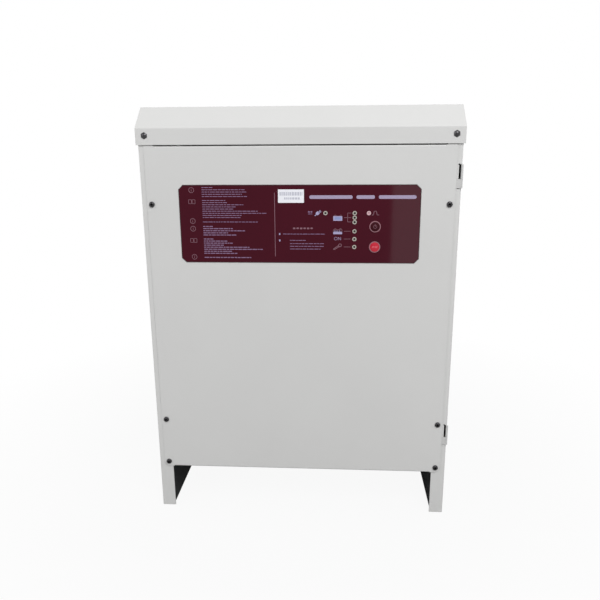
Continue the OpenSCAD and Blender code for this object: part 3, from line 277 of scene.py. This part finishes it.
def add_box(bm, x0, x1, z0, z1, y0, y1, turn=0.0, corner=0.0):
    """A thin slab between the given corners, turned in its plane, its corners rounded if asked."""
    centre = Vector(((x0 + x1) / 2, (y0 + y1) / 2, (z0 + z1) / 2))
    size = Matrix.Diagonal((x1 - x0, y1 - y0, z1 - z0, 1))
    made = bmesh.ops.create_cube(bm, size=1.0, matrix=size)["verts"]
    if corner:
        edges = dict.fromkeys(e for v in made for e in v.link_edges if runs_deep(e))
        shaped = bmesh.ops.bevel(
            bm, geom=list(edges), offset=corner, offset_type="OFFSET", segments=5, profile=0.5,
            affect="EDGES", material=-1)
        made = list(dict.fromkeys(v for f in shaped["faces"] for v in f.verts))
    place = Matrix.Translation(centre) @ Matrix.Rotation(turn, 4, "Y")
    bmesh.ops.transform(bm, matrix=place, verts=made)


def add_ring(bm, x, z, r_out, r_in, y0, y1, segments=24):
    """A flat ring that faces the front."""
    place = Matrix.Translation((x, y0, z)) @ FACE_FRONT
    edges = []
    for radius in (r_out, r_in):
        edges += loop_edges(bmesh.ops.create_circle(
            bm, segments=segments, radius=radius, cap_ends=False, matrix=place))
    faces = bmesh.ops.bridge_loops(bm, edges=edges)["faces"]
    raised = bmesh.ops.extrude_face_region(bm, geom=faces)
    bmesh.ops.translate(bm, verts=new_verts(raised), vec=(0, y1 - y0, 0))


class Ink:
    """Print on the overlay, in millimetres from the cabinet's middle and the film's lower edge."""

    def __init__(self):
        self.bm = bmesh.new()
        self.front = FILM_LOW.y - sizes().ink
        self.back = FILM_LOW.y
        self.rule = sizes().rule / MM

    def bar(self, x0, x1, z0, z1, turn=0.0, corner=0.0):
        low = FILM_LOW.z
        add_box(self.bm, x0 * MM, x1 * MM, low + z0 * MM, low + z1 * MM, self.front, self.back,
                turn, corner * MM)

    def stroke(self, *points, width=None):
        """A line of straight strokes through the points."""
        w = width or self.rule
        for (x0, z0), (x1, z1) in zip(points, points[1:]):
            run = math.hypot(x1 - x0, z1 - z0) + w
            x, z = (x0 + x1) / 2, (z0 + z1) / 2
            self.bar(x - run / 2, x + run / 2, z - w / 2, z + w / 2,
                     turn=-math.atan2(z1 - z0, x1 - x0))

    def ring(self, x, z, r_out, r_in, segments=24):
        add_ring(self.bm, x * MM, FILM_LOW.z + z * MM, r_out * MM, r_in * MM, self.front,
                 self.back, segments)

    def outline(self, x0, x1, z0, z1):
        self.stroke((x0, z0), (x1, z0), (x1, z1), (x0, z1), (x0, z0))

    def words(self, rng, x0, x1, z, h):
        """A line of small print as a row of plain bars."""
        x = x0
        while x < x1 - WORD_LEAST:
            run = min(rng.uniform(*WORD_RUN), x1 - x)
            self.bar(x, x + run, z - h / 2, z + h / 2)
            x += run + WORD_GAP

    def piece(self, name, tone):
        add_piece(name, self.bm, ink_finish(name + "_ink", tone))


class CHARGER_OT_cabinet_finish(bpy.types.Operator):
    """Give the folded sheets their powder coat"""
    bl_idname = "charger.cabinet_finish"
    bl_label = "Cabinet finish"

    def execute(self, context):
        tones = colours()
        # Powder coat baked on steel: an even off-white with a faint orange-peel grain and soft
        # edges. The grain is drawn at 3 mm, coarser than the real 1 mm, so that it shows.
        coat = finish("powder_coat_off_white", tones.paint, tones.paint_shade, 3.0, 0.4, bump=0.06,
                      depth_mm=0.12, edge_mm=0.7, **{"Specular IOR Level": 0.26})
        paint_nodes(coat, "left_side_panel", "right_side_panel", "base_plate", "top_rails",
                    "front_panel", "rear_panel", "lid", "gland_plate")
        # Hinge leaf: its knuckle is painted a little greyer than the cabinet's coat, a painted
        # shade on the round knuckle.
        # The leaf behind the flange's front is painted near-black, a painted shade for the dark
        # hinge slot.
        painted_shade_from_y = FLANGE_Y + 1.2 * MM
        hinge_coat_painted_shade = finish("hinge_coat_with_painted_shade", "#CBCBCA", "#C3C3C2", 3.0, 0.5, bump=0.06,
                      # Near-black past this depth: painted shade inside the hinge slot.
                      depth_mm=0.12, split=("Y", painted_shade_from_y, "#0C0C0D"))
        paint_nodes(hinge_coat_painted_shade, "hinge_frame_leaves", "hinge_panel_leaves")
        # Brushed-on black enamel over steel channel: dull, with slow waves in its gloss.
        enamel = finish("black_enamel", tones.enamel, "#1E2021", 9.0, 0.62, bump=0.12,
                        depth_mm=0.2, **{"Specular IOR Level": 0.2})
        paint_nodes(enamel, "left_foot_runner", "right_foot_runner", "core_clamps")
        return {"FINISHED"}


class CHARGER_OT_overlay_finish(bpy.types.Operator):
    """Give the overlay, sticker, lamps and keys their plastics"""
    bl_idname = "charger.overlay_finish"
    bl_label = "Overlay, lamps and keys"

    def execute(self, context):
        tones = colours()
        # Polycarbonate film printed from behind: smooth gloss over a deep, slightly uneven maroon.
        film = finish("printed_polycarbonate_film", tones.film, tones.film_shade, 60.0, 0.05,
                      bump=0.04, depth_mm=0.4, rough_span=0.01, IOR=1.5,
                      **{"Specular IOR Level": 0.3})
        paint_nodes(film, "overlay_film")
        # Paper label stock: matt, faintly blue white with a fine fibre.
        label = finish("white_label_stock", "#F5F6FB", "#EDEEF5", 1.2, 0.62, bump=0.05,
                       cloud_mm=8.0)
        paint_nodes(label, "white_sticker")
        # Moulded lamp rings: satin warm grey, and a rose one round the timer's lamp.
        timer_side = 115 * MM
        ring = finish("grey_moulded_rings", "#BDB8B0", "#AEA9A1", 2.0, 0.38, bump=0.03,
                      cloud_mm=10.0, split=("X", timer_side, "#D9B6BC"))
        paint_nodes(ring, "lamp_rings")
        # Key rings: thin satin rims in a dull rose.
        rim = finish("rose_moulded_rings", "#A97983", "#996B75", 2.0, 0.4, bump=0.03,
                     cloud_mm=10.0)
        paint_nodes(rim, "mode_key_ring", "stop_key_ring")
        # Unlit lamps: black smoked acrylic domes, and one milky dome.
        smoked = finish("smoked_acrylic_lamps", "#120B0C", "#0C0708", 2.0, 0.14, bump=0.0)
        paint_nodes(smoked, "status_lamps")
        milky = finish("milky_pink_lamp", "#EBC9D0", "#DDB4BE", 2.0, 0.2, bump=0.0, cloud_mm=6.0)
        paint_nodes(milky, "timer_lamp")
        # Moulded key caps with a satin front.
        red = finish("red_moulded_key", tones.key_red, "#BB0D2B", 1.5, 0.3, bump=0.04,
                     cloud_mm=12.0)
        paint_nodes(red, "stop_key")
        dark = finish("dark_moulded_key", tones.key_dark, "#330D15", 1.5, 0.5, bump=0.04,
                      cloud_mm=12.0, **{"Specular IOR Level": 0.1})
        paint_nodes(dark, "mode_key")
        return {"FINISHED"}


class CHARGER_OT_inner_finish(bpy.types.Operator):
    """Give the inner parts, fan and glands their finishes"""
    bl_idname = "charger.inner_finish"
    bl_label = "Inner parts, fan and glands"

    def execute(self, context):
        # Bright zinc plate: fine drawn streaks along the sheet.
        zinc = finish("zinc_plated_steel", "#B9BCBE", "#A8ABAE", 2.5, 0.34, metallic=1.0,
                      bump=0.05, stretch=(0.2, 1, 1), cloud_mm=40.0)
        paint_nodes(zinc, "base_bolts", "hinge_pins", "board_screws", "clinch_nuts", "fan_guard",
                    "fan_screws", "mounting_plate", "core_bolts")
        # Blackened steel: nearly black with a grey sheen.
        oxide = finish("black_oxide_steel", "#2B2A2C", "#1C1B1D", 1.2, 0.36, metallic=0.85,
                       bump=0.08, cloud_mm=10.0)
        paint_nodes(oxide, "front_screws", "lid_screws", "rear_screws", "gland_plate_screws")
        # Moulded nylon and glass-filled plastics: slightly rough, with soft highlights.
        nylon = finish("black_moulded_nylon", "#1B1B1D", "#151517", 1.6, 0.45, bump=0.1)
        paint_nodes(nylon, "gland_bodies", "gland_caps", "gland_locknuts", "fan_frame",
                    "fan_rotor", "key_switches", "output_terminals", "control_parts")
        # Rubber: dull black.
        rubber = finish("black_rubber_seals", "#161616", "#101010", 1.2, 0.7, bump=0.15)
        paint_nodes(rubber, "gland_seals", "gland_gasket")
        # Moulded housings in grey and cream: satin.
        grey = finish("grey_moulded_housing", "#6B6D70", "#626467", 1.6, 0.5, bump=0.1)
        paint_nodes(grey, "contactor", "rectifier_modules")
        cream = finish("cream_terminal_blocks", "#D0CCB8", "#C6C1AB", 1.6, 0.5, bump=0.08)
        paint_nodes(cream, "mains_terminals")
        # Glazed ceramic: smooth and glossy.
        ceramic = finish("glazed_fuse_body", "#E4E1D8", "#DAD6CB", 3.0, 0.25, bump=0.02)
        paint_nodes(ceramic, "output_fuse")
        # Fibreglass boards under green solder mask: glossy with a faint weave.
        board = finish("green_fibreglass_board", "#1F5A38", "#174A2D", 2.0, 0.32, bump=0.06)
        paint_nodes(board, "display_board", "control_board")
        # Turned brass, bare copper bar and extruded aluminium: fine lines along the way they were
        # made.
        brass = finish("turned_brass", "#C9A354", "#BC9648", 1.0, 0.3, metallic=1.0, bump=0.04)
        paint_nodes(brass, "board_standoffs", "control_standoffs")
        copper = finish("bare_copper_bar", "#B87350", "#A86545", 4.0, 0.36, metallic=1.0,
                        bump=0.05, stretch=(0.25, 1, 1))
        paint_nodes(copper, "positive_busbar", "negative_busbar")
        alloy = finish("extruded_aluminium", "#C4C7CA", "#B6B9BC", 2.0, 0.38, metallic=1.0,
                       bump=0.05, stretch=(1, 1, 0.1))
        paint_nodes(alloy, "heat_sink")
        # Varnished tape in turns, drawn as bands of 12 mm, and stacked laminations as fine lines
        # through the stack.
        tape = finish("varnished_winding_tape", "#B98A3C", "#9A6F2C", 12.0, 0.42, bump=0.3,
                      depth_mm=0.4, stretch=(0.05, 0.05, 1), cloud_mm=20.0)
        paint_nodes(tape, "transformer_coils")
        stack = finish("stacked_core_steel", "#55575B", "#44464A", 3.0, 0.5, metallic=0.6,
                       bump=0.3, depth_mm=0.3, stretch=(0.02, 1, 0.02), cloud_mm=4.0)
        paint_nodes(stack, "transformer_core")
        return {"FINISHED"}


def add_loop(bm, edges, points):
    """Pulls a new loop out of the edges and moves its points to where points puts their angle."""
    made = bmesh.ops.extrude_edge_only(bm, edges=edges)
    for v in new_verts(made):
        v.co = points(math.atan2(v.co.y, v.co.x))
    return new_edges(made)


def add_shank(bm, seat, shank):
    """Closes a head's seat with a round shank."""
    root = loop_edges(bmesh.ops.create_circle(
        bm, segments=len(seat), radius=SHANK_RADIUS, cap_ends=False))
    bmesh.ops.bridge_loops(bm, edges=seat + root)
    made = bmesh.ops.extrude_edge_only(bm, edges=root)
    bmesh.ops.translate(bm, verts=new_verts(made), vec=(0, 0, shank))
    bmesh.ops.contextual_create(bm, geom=new_edges(made))


def on_circle(radius, height):
    """Places on a level circle of a head, by their angle."""
    return lambda angle: Vector((radius * math.cos(angle), radius * math.sin(angle), -height))


def bolt_flat():
    """Distance from a lid bolt's axis to a side of its hexagon."""
    return sizes().lid_head / 2 * math.cos(HEX_HALF)


def add_screw(bm, place):
    """A pan-head screw with a cross recess, its head below the origin of place."""
    head, rise, recess = sizes().head / 2, sizes().head_rise, sizes().recess
    start = len(bm.verts)
    seat = loop_edges(bmesh.ops.create_circle(bm, segments=32, radius=head, cap_ends=False))
    edges = seat
    for share, height in PAN_HEAD:
        edges = add_loop(bm, edges, on_circle(share * head, height * rise))
    arm, half, taper = 0.46 * head, 0.12 * head, 0.72
    outline = [(arm, -half), (arm, half), (half, half), (half, arm), (-half, arm), (-half, half),
               (-arm, half), (-arm, -half), (-half, -half), (-half, -arm), (half, -arm),
               (half, -half)]
    cross = [bm.verts.new((x, y, -rise)) for x, y in outline]
    cross_edges = [bm.edges.new(pair) for pair in zip(cross, cross[1:] + cross[:1])]
    bmesh.ops.bridge_loops(bm, edges=edges + cross_edges)
    made = bmesh.ops.extrude_edge_only(bm, edges=cross_edges)
    for v in new_verts(made):
        v.co = (taper * v.co.x, taper * v.co.y, recess - rise)
    bmesh.ops.contextual_create(bm, geom=new_edges(made))
    add_shank(bm, seat, SCREW_SHANK)
    bm.verts.ensure_lookup_table()
    bmesh.ops.transform(bm, matrix=place, verts=bm.verts[start:])


def add_bolt(bm, place):
    """A hexagon bolt with a domed head, one corner of it upright."""
    rise, flat = sizes().head_rise, bolt_flat()
    rim = 0.3 * rise

    def on_side(angle, top):
        """Place on the hexagon's side, lowered at the corners where the chamfer cuts them."""
        off = (angle + HEX_HALF) % (2 * HEX_HALF) - HEX_HALF
        reach = flat / math.cos(off)
        fall = (reach - flat) * math.tan(HEX_HALF)
        height = rim - fall if top else 0.0
        return Vector((reach * math.cos(angle), reach * math.sin(angle), -height))

    start = len(bm.verts)
    loop = bmesh.ops.create_circle(bm, segments=48, radius=flat, cap_ends=False)
    seat = loop_edges(loop)
    for v in loop["verts"]:
        v.co = on_side(math.atan2(v.co.y, v.co.x), False)
    edges = add_loop(bm, seat, lambda angle: on_side(angle, True))
    for share in DOME:
        height = rim + (rise - rim) * (1 - share * share)
        edges = add_loop(bm, edges, on_circle(share * flat, height))
    bmesh.ops.contextual_create(bm, geom=edges)
    add_shank(bm, seat, BOLT_SHANK)
    bm.verts.ensure_lookup_table()
    bmesh.ops.transform(bm, matrix=place, verts=bm.verts[start:])


class CHARGER_OT_screw_heads(bpy.types.Operator):
    """Make the cross-recess screws of the panels and the hexagon bolts of the lid"""
    bl_idname = "charger.screw_heads"
    bl_label = "Screws"

    def execute(self, context):
        # Blackened steel, polished by handling: dark with small bright glints on the dome.
        steel = finish("blackened_screw_steel", "#504F51", "#363537", 1.0, 0.2, metallic=0.95,
                       bump=0.05, cloud_mm=6.0)
        rng = random.Random(7)
        head = sizes().head / 2
        self.rows("front_screw_heads", "front_screws", steel, add_screw, head, (-1,), FRONT_ROWS,
                  rng)
        self.rows("rear_screw_heads", "rear_screws", steel, add_screw, head, (1,), REAR_ROWS, rng)
        low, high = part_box("lid_screws")
        lid_row = ((low.z + high.z) / 2,)
        self.rows("lid_bolt_heads", "lid_screws", steel, add_bolt, bolt_flat(), (-1, 1), lid_row)
        return {"FINISHED"}

    def rows(self, name, node, steel, make, reach, sides, heights, rng=None):
        """Makes a group of screws on the front (-1) or rear (1) and lets it stand for its node."""
        low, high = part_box(node)
        bm = bmesh.new()
        for side in sides:
            y = (low.y if side < 0 else high.y) - side * sizes().head_rise
            turn = Matrix.Rotation(side * math.radians(90), 4, "X")
            for x in (low.x + reach, high.x - reach):
                for z in heights:
                    spin = Matrix.Rotation(rng.uniform(0, CROSS_TURN) if rng else 0.0, 4, "Z")
                    make(bm, Matrix.Translation((x, y, z)) @ turn @ spin)
        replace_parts(add_piece(name, bm, steel, smooth=True), node)


class CHARGER_OT_overlay_print(bpy.types.Operator):
    """Print the overlay with plain bars, lines and simple signs"""
    bl_idname = "charger.overlay_print"
    bl_label = "Overlay print"

    def execute(self, context):
        tones = colours()
        self.border().piece("overlay_border", tones.border)
        self.small_print().piece("overlay_small_print", tones.fine_ink)
        self.rules().piece("overlay_rules", tones.rule_ink)
        self.signs().piece("overlay_signs", tones.ink)
        self.windows().piece("overlay_sign_windows", tones.window_ink)
        self.heading().piece("overlay_heading", tones.heading_ink)
        return {"FINISHED"}

    def border(self):
        """A thin dark line that follows the overlay's edge and cut corners."""
        ink = Ink()
        bm, cut = ink.bm, sizes().cut
        x0, x1, z0, z1 = FILM_LOW.x, FILM_HIGH.x, FILM_LOW.z, FILM_HIGH.z
        corners = [(x0 + cut, z0), (x1 - cut, z0), (x1, z0 + cut), (x1, z1 - cut),
                   (x1 - cut, z1), (x0 + cut, z1), (x0, z1 - cut), (x0, z0 + cut)]
        face = bm.faces.new([bm.verts.new((x, ink.back, z)) for x, z in corners])
        face.normal_update()
        rim = bmesh.ops.inset_region(bm, faces=[face], thickness=sizes().border,
                                     use_boundary=True, use_even_offset=True)["faces"]
        middle = [f for f in bm.faces if f not in rim]
        bmesh.ops.delete(bm, geom=middle, context="FACES")
        raised = bmesh.ops.extrude_face_region(bm, geom=list(bm.faces))
        bmesh.ops.translate(bm, verts=new_verts(raised), vec=(0, ink.front - ink.back, 0))
        return ink

    def small_print(self):
        """Blocks of small print with ragged ends, notes, and a mark beside the plug."""
        rng = random.Random(21)
        ink = Ink()
        h = sizes().fine_line / MM
        margin = -177.0
        # Height of the first line, spacing, boldness, and the length of each line.
        blocks = [(138.6, 4.05, 1.0, (23, 79, 82, 74, 85)),
                  (115.2, 3.88, 1.0, (43, 48, 76, 63, 57, 105, 120, 72, 72)),
                  (76.0, 4.0, 1.0, (102,)),
                  (67.6, 3.95, 1.4, (18, 55, 79, 46, 63)),
                  (44.3, 3.84, 1.4, (18, 44, 54, 38, 85, 111, 52, 65)),
                  (9.6, 4.0, 1.4, (88,))]
        for top, pitch, bold, lines in blocks:
            for i, run in enumerate(lines):
                ink.words(rng, margin, run + margin, top - i * pitch, bold * h)
        # Start, end and height of each line of the notes.
        notes = ((-29, 48, 54), (-16.4, 13, 42.2), (-16.4, 46, 36.2), (-16.4, 48, 31.2),
                 (-16.4, 40, 26.2))
        for x0, x1, z in notes:
            ink.words(rng, x0, x1, z, h)
        # Two blocks over a line, beside the plug.
        ink.bar(17.0, 20.2, 93.2, 96.0, corner=0.6)
        ink.bar(21.6, 24.8, 93.2, 96.0, corner=0.6)
        ink.bar(17.0, 24.8, 90.4, 91.4)
        return ink

    def rules(self):
        """Divider, leaders, bracket and the signs that are drawn in line."""
        ink = Ink()
        # Divider between the small print and the controls.
        ink.stroke((-43.8, 12.7), (-43.8, 128.6), width=1.0)
        # Leaders from the signs to their lamps.
        for z in (59.4, 45.1, 30.4):
            ink.stroke((82.9, z), (94.4, z))
        # Bracket from the upper battery to its three lamps.
        ink.stroke((82.9, 84.2), (89.0, 84.2))
        ink.stroke((95.2, 92.6), (89.0, 92.6), (89.0, 76.4), (95.2, 76.4))
        ink.stroke((89.0, 84.3), (95.2, 84.3))
        # Pulse beside the timer's lamp.
        ink.stroke((133.0, 89.0), (135.4, 89.0), (136.8, 96.0), (140.8, 96.0), (142.2, 89.0),
                   (145.2, 89.0), width=1.0)
        # Spanner: two sides, its ring and its hanging hole.
        ink.stroke((64.2, 27.0), (72.4, 32.4), width=1.1)
        ink.stroke((65.8, 25.6), (73.6, 30.6), width=1.1)
        ink.ring(75.6, 33.4, 3.2, 2.1)
        ink.ring(64.8, 26.4, 1.6, 0.6, 12)
        # Open books beside the small print.
        for z in (113, 41.5):
            ink.outline(-202.0, -196.6, z - 3.6, z + 3.6)
            ink.outline(-195.4, -190.0, z - 3.6, z + 3.6)
        # Rounds with a stroke and a dot.
        for z in (134, 77.6, 63.4, 10.6):
            ink.ring(-196.0, z, 5.0, 4.2)
            ink.stroke((-196.0, z - 2.2), (-196.0, z + 0.6))
            ink.stroke((-196.0, z + 2.0), (-196.0, z + 2.1))
        # Posts of the two batteries, and the empty upper part of the lower one.
        for z0 in (87.0, 62.6):
            for x in (65.2, 74.6):
                ink.stroke((x, z0), (x + 0.8, z0 + 1.9), (x + 2.6, z0 + 1.9), (x + 3.4, z0))
        ink.outline(63.4, 79.0, 58.6, 62.4)
        # Row of blocks over the notes.
        for i, x in enumerate((-10.6, -4.2, 2.2, 8.6, 15.0, 21.4)):
            ink.bar(x, x + 4.4, 63.0 + 0.3 * (i % 2), 66.0, corner=0.8)
        return ink

    def signs(self):
        """Bullets, two battery signs and a plug in solid ink."""
        ink = Ink()
        # Bullets of the notes.
        for z in (54, 42):
            ink.bar(-36.5, -34.1, z - 1.9, z + 1.9, corner=0.9)
        # Upper battery, and the lower one with its level.
        ink.bar(63.0, 79.3, 78.4, 87.0, corner=0.7)
        ink.bar(63.2, 79.3, 53.9, 58.8, corner=0.5)
        for x in (65.0, 69.0, 73.4):
            ink.bar(x, x + 2.4, 58.6, 60.4, corner=0.5)
        # Plug: body, two pins and the start of its lead.
        ink.bar(31.4, 37.6, 89.2, 95.0, turn=math.radians(-42), corner=1.6)
        ink.stroke((36.4, 94.0), (39.0, 97.2), width=1.2)
        ink.stroke((37.8, 92.4), (40.4, 95.2), width=1.2)
        ink.stroke((31.6, 89.6), (30.0, 87.8), width=1.4)
        return ink

    def windows(self):
        """The blue field in the upper battery sign, a second coat of ink."""
        ink = Ink()
        ink.front -= 0.02 * MM
        ink.bar(65.2, 77.2, 80.4, 85.4, corner=0.5)
        return ink

    def heading(self):
        """Three slim rounded bars in the heading's place."""
        ink = Ink()
        for x0, x1 in ((19.5, 97.5), (104.5, 137.5), (144.5, 211.5)):
            ink.bar(x0, x1, 118.0, 124.4, corner=2.8)
        return ink


def add_word(text, size_mm, x, z, tone, name, body, front, crown=0.0):
    """A generic word as a thin mesh on a flat or domed front."""
    curve = bpy.data.curves.new(name, "FONT")
    curve.body = text
    curve.size = size_mm * MM
    curve.align_x = "CENTER"
    curve.align_y = "CENTER"
    curve.extrude = sizes().ink / 2
    holder = bpy.data.objects.new(name, curve)
    mesh = bpy.data.meshes.new_from_object(holder)
    bpy.data.objects.remove(holder)
    bm = bmesh.new()
    bm.from_mesh(mesh)
    bpy.data.meshes.remove(mesh)
    bmesh.ops.transform(bm, matrix=FACE_FRONT, verts=bm.verts)
    for v in bm.verts:
        reach = v.co.x ** 2 + v.co.z ** 2
        sink = crown - math.sqrt(crown ** 2 - reach) if crown else 0.0
        v.co += Vector((x, front + sink, z))
    add_piece(name, bm, ink_finish(name + "_ink", tone), body=body)


class CHARGER_OT_key_marks(bpy.types.Operator):
    """Mark the keys, the running lamp and the sticker"""
    bl_idname = "charger.key_marks"
    bl_label = "Key marks"

    def execute(self, context):
        size = sizes()
        low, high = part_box("stop_key")
        middle = (low + high) / 2
        add_word("STOP", 4.4, middle.x, middle.z, "#F08A97", "stop_word", "stop_key",
                 low.y - size.ink / 3, size.crown)
        self.mode_mark()
        add_word("ON", 8.6, 71.1 * MM, FILM_LOW.z + 45.4 * MM, "#9A86A6", "on_word", "cabinet",
                 FILM_LOW.y - size.ink / 2)
        self.sticker_rows()
        return {"FINISHED"}

    def mode_mark(self):
        """A ring and an upright stroke, let into the mode key's domed front."""
        low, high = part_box("mode_key")
        middle = (low + high) / 2
        ring_out, ring_in = 3.3 * MM, 2.6 * MM
        half, foot, tip = 0.4 * MM, 0.4 * MM, 4.6 * MM
        ring_front, stroke_front = low.y + 0.05 * MM, low.y - 0.04 * MM
        ring_root = low.y + 0.35 * MM
        stroke_root = ring_root + 0.1 * MM
        bm = bmesh.new()
        add_ring(bm, middle.x, middle.z, ring_out, ring_in, ring_front, ring_root)
        add_box(bm, middle.x - half, middle.x + half, middle.z + foot, middle.z + tip,
                stroke_front, stroke_root)
        add_piece("mode_mark", bm, ink_finish("mode_mark_ink", "#7D5560"), body="mode_key")

    def sticker_rows(self):
        """Two rows of pale bars on the sticker."""
        bm = bmesh.new()
        rng = random.Random(4)
        shortest, longest, gap, spill = 2.2, 4.4, 1.0, 0.5
        ink = 0.04 * MM
        # Start, end, height and middle of each row, from the sticker's lower left corner.
        for start, end, h, z in ((2.6, 44.0, 6.4, 16.2), (11.0, 39.0, 3.8, 7.8)):
            x = start
            z0, z1 = STICKER_LOW.z + (z - h / 2) * MM, STICKER_LOW.z + (z + h / 2) * MM
            while x < end:
                run = min(rng.uniform(shortest, longest), end - x + spill)
                add_box(bm, STICKER_LOW.x + x * MM, STICKER_LOW.x + (x + run) * MM, z0, z1,
                        STICKER_LOW.y - ink, STICKER_LOW.y)
                x += run + gap
        add_piece("sticker_print", bm, ink_finish("grey_label_ink", "#CBCCD8"))


class CHARGER_OT_stage(bpy.types.Operator):
    """Set the floor, the light and the camera"""
    bl_idname = "charger.stage"
    bl_label = "Stage"

    def execute(self, context):
        scene = context.scene
        scene.view_settings.view_transform = "Standard"
        self.world(scene)
        self.floor(scene)
        self.card(scene)
        for lamp in LAMPS:
            self.lamp(scene, *lamp)
        self.camera(scene)
        return {"FINISHED"}

    def world(self, scene):
        """Soft light from all round, seen as plain white by the camera and in gloss."""
        air_strength = 0.4
        world = bpy.data.worlds.new("studio")
        scene.world = world
        world.use_nodes = True
        tree = world.node_tree
        tree.nodes.clear()
        out = add_node(tree, "ShaderNodeOutputWorld")
        path = add_node(tree, "ShaderNodeLightPath")
        seen = add_node(tree, "ShaderNodeMath", {
            0: path.outputs["Is Camera Ray"], 1: path.outputs["Is Glossy Ray"]},
            operation="MAXIMUM")
        seen = add_node(tree, "ShaderNodeMath", {
            0: seen.outputs[0], 1: path.outputs["Is Transmission Ray"]}, operation="MAXIMUM")
        air = add_node(tree, "ShaderNodeBackground", {
            "Color": (1, 1, 1, 1), "Strength": air_strength})
        white = add_node(tree, "ShaderNodeBackground", {"Color": (1, 1, 1, 1), "Strength": 1.0})
        mix = add_node(tree, "ShaderNodeMixShader", {
            0: seen.outputs[0], 1: air.outputs[0], 2: white.outputs[0]})
        tree.links.new(mix.outputs[0], out.inputs[0])

    def floor(self, scene):
        """A pale floor: matt with the cabinet's shadow near it, plain white farther out."""
        fade_start, fade_end, near_white, grey = 0.45, 1.1, 0.93, 0.46
        width, drop = 60, 0.4 * MM
        mat, tree, out = blank("pale_floor")
        path = add_node(tree, "ShaderNodeLightPath")
        place = add_node(tree, "ShaderNodeTexCoord")
        away = add_node(tree, "ShaderNodeVectorMath", {0: place.outputs["Object"]},
                        operation="LENGTH")
        far = add_node(tree, "ShaderNodeMapRange", {
            "Value": away.outputs["Value"], "From Min": fade_start, "From Max": fade_end})
        near = add_node(tree, "ShaderNodeMapRange", {
            "Value": far.outputs[0], "To Min": near_white, "To Max": 1.0})
        plain = add_node(tree, "ShaderNodeMath", {
            0: path.outputs["Is Camera Ray"], 1: near.outputs[0]}, operation="MULTIPLY")
        gloss = add_node(tree, "ShaderNodeMath", {
            0: path.outputs["Is Glossy Ray"], 1: far.outputs[0]}, operation="MULTIPLY")
        part = add_node(tree, "ShaderNodeMath", {0: plain.outputs[0], 1: gloss.outputs[0]},
                        operation="MAXIMUM")
        matt = add_node(tree, "ShaderNodeBsdfDiffuse", {"Color": (grey, grey, grey, 1)})
        glow = add_node(tree, "ShaderNodeEmission", {"Color": (1, 1, 1, 1), "Strength": 1.0})
        mix = add_node(tree, "ShaderNodeMixShader", {
            0: part.outputs[0], 1: matt.outputs[0], 2: glow.outputs[0]})
        tree.links.new(mix.outputs[0], out.inputs[0])
        floor = self.sheet(scene, "floor", mat, Matrix.Diagonal((width, width, 1, 1)))
        floor.location.z = -drop

    def card(self, scene):
        """A dark card in front that only gloss sees, as a studio uses to deepen a shiny face."""
        spot, wide, tall, strength = (-0.31, -2.2, 0.32), 1.3, 0.66, 0.22
        mat, tree, out = blank("dark_card")
        dim = add_node(tree, "ShaderNodeEmission", {"Color": (1, 1, 1, 1), "Strength": strength})
        tree.links.new(dim.outputs[0], out.inputs[0])
        place = Matrix.Translation(spot) @ FACE_FRONT @ Matrix.Diagonal((wide, tall, 1, 1))
        card = self.sheet(scene, "dark_card", mat, place)
        card.visible_camera = False
        card.visible_diffuse = False
        card.visible_shadow = False
        card.visible_transmission = False

    def sheet(self, scene, name, mat, place):
        """A flat sheet of the stage, one metre square before it is placed."""
        bm = bmesh.new()
        bmesh.ops.create_grid(bm, x_segments=1, y_segments=1, size=0.5, matrix=place)
        mesh = bpy.data.meshes.new(name)
        bm.to_mesh(mesh)
        bm.free()
        mesh.materials.append(mat)
        sheet = bpy.data.objects.new(name, mesh)
        scene.collection.objects.link(sheet)
        return sheet

    def lamp(self, scene, name, spot, aim, size, power):
        """A square area lamp that faces its target."""
        data = bpy.data.lights.new(name, "AREA")
        data.energy = power
        data.size = size
        lamp = bpy.data.objects.new(name, data)
        lamp.location = spot
        lamp.rotation_euler = (Vector(aim) - Vector(spot)).to_track_quat("-Z", "Y").to_euler()
        scene.collection.objects.link(lamp)

    def camera(self, scene):
        """The photo's camera, from a fit to the cabinet's edges."""
        data = bpy.data.cameras.new("photo_camera")
        data.sensor_width = 36.0
        data.lens = 37.085
        camera = bpy.data.objects.new("photo_camera", data)
        right = Vector((0.99814004, 0.06060159, -0.00662645))
        up = Vector((-0.00915011, 0.25639181, 0.96652962))
        place = Matrix((right, up, right.cross(up))).transposed().to_4x4()
        place.translation = (0.07172, FLANGE_Y - 1.12816, 0.74708)
        camera.matrix_world = place
        scene.collection.objects.link(camera)
        scene.camera = camera


class CHARGER_PT_panel(bpy.types.Panel):
    """Shows the charger's steps, colours and sizes"""
    bl_idname = "CHARGER_PT_panel"
    bl_label = "Battery charger"
    bl_space_type = "VIEW_3D"
    bl_region_type = "UI"
    bl_category = "Charger"

    def draw(self, context):
        for operator in OPERATORS:
            self.layout.operator(operator.bl_idname)
        for group in (context.scene.charger_colours, context.scene.charger_sizes):
            for name in group.__annotations__:
                self.layout.prop(group, name)


OPERATORS = (
    CHARGER_OT_cabinet_finish,
    CHARGER_OT_overlay_finish,
    CHARGER_OT_inner_finish,
    CHARGER_OT_screw_heads,
    CHARGER_OT_overlay_print,
    CHARGER_OT_key_marks,
    CHARGER_OT_stage,
)
CLASSES = (ChargerColours, ChargerSizes, *OPERATORS, CHARGER_PT_panel)


def register():
    for cls in CLASSES:
        bpy.utils.register_class(cls)
    bpy.types.Scene.charger_colours = bpy.props.PointerProperty(type=ChargerColours)
    bpy.types.Scene.charger_sizes = bpy.props.PointerProperty(type=ChargerSizes)


def unregister():
    del bpy.types.Scene.charger_sizes
    del bpy.types.Scene.charger_colours
    for cls in reversed(CLASSES):
        bpy.utils.unregister_class(cls)


def main():
    register()
    bpy.ops.charger.cabinet_finish()
    bpy.ops.charger.overlay_finish()
    bpy.ops.charger.inner_finish()
    bpy.ops.charger.screw_heads()
    bpy.ops.charger.overlay_print()
    bpy.ops.charger.key_marks()
    bpy.ops.charger.stage()


if __name__ == "__main__":
    main()
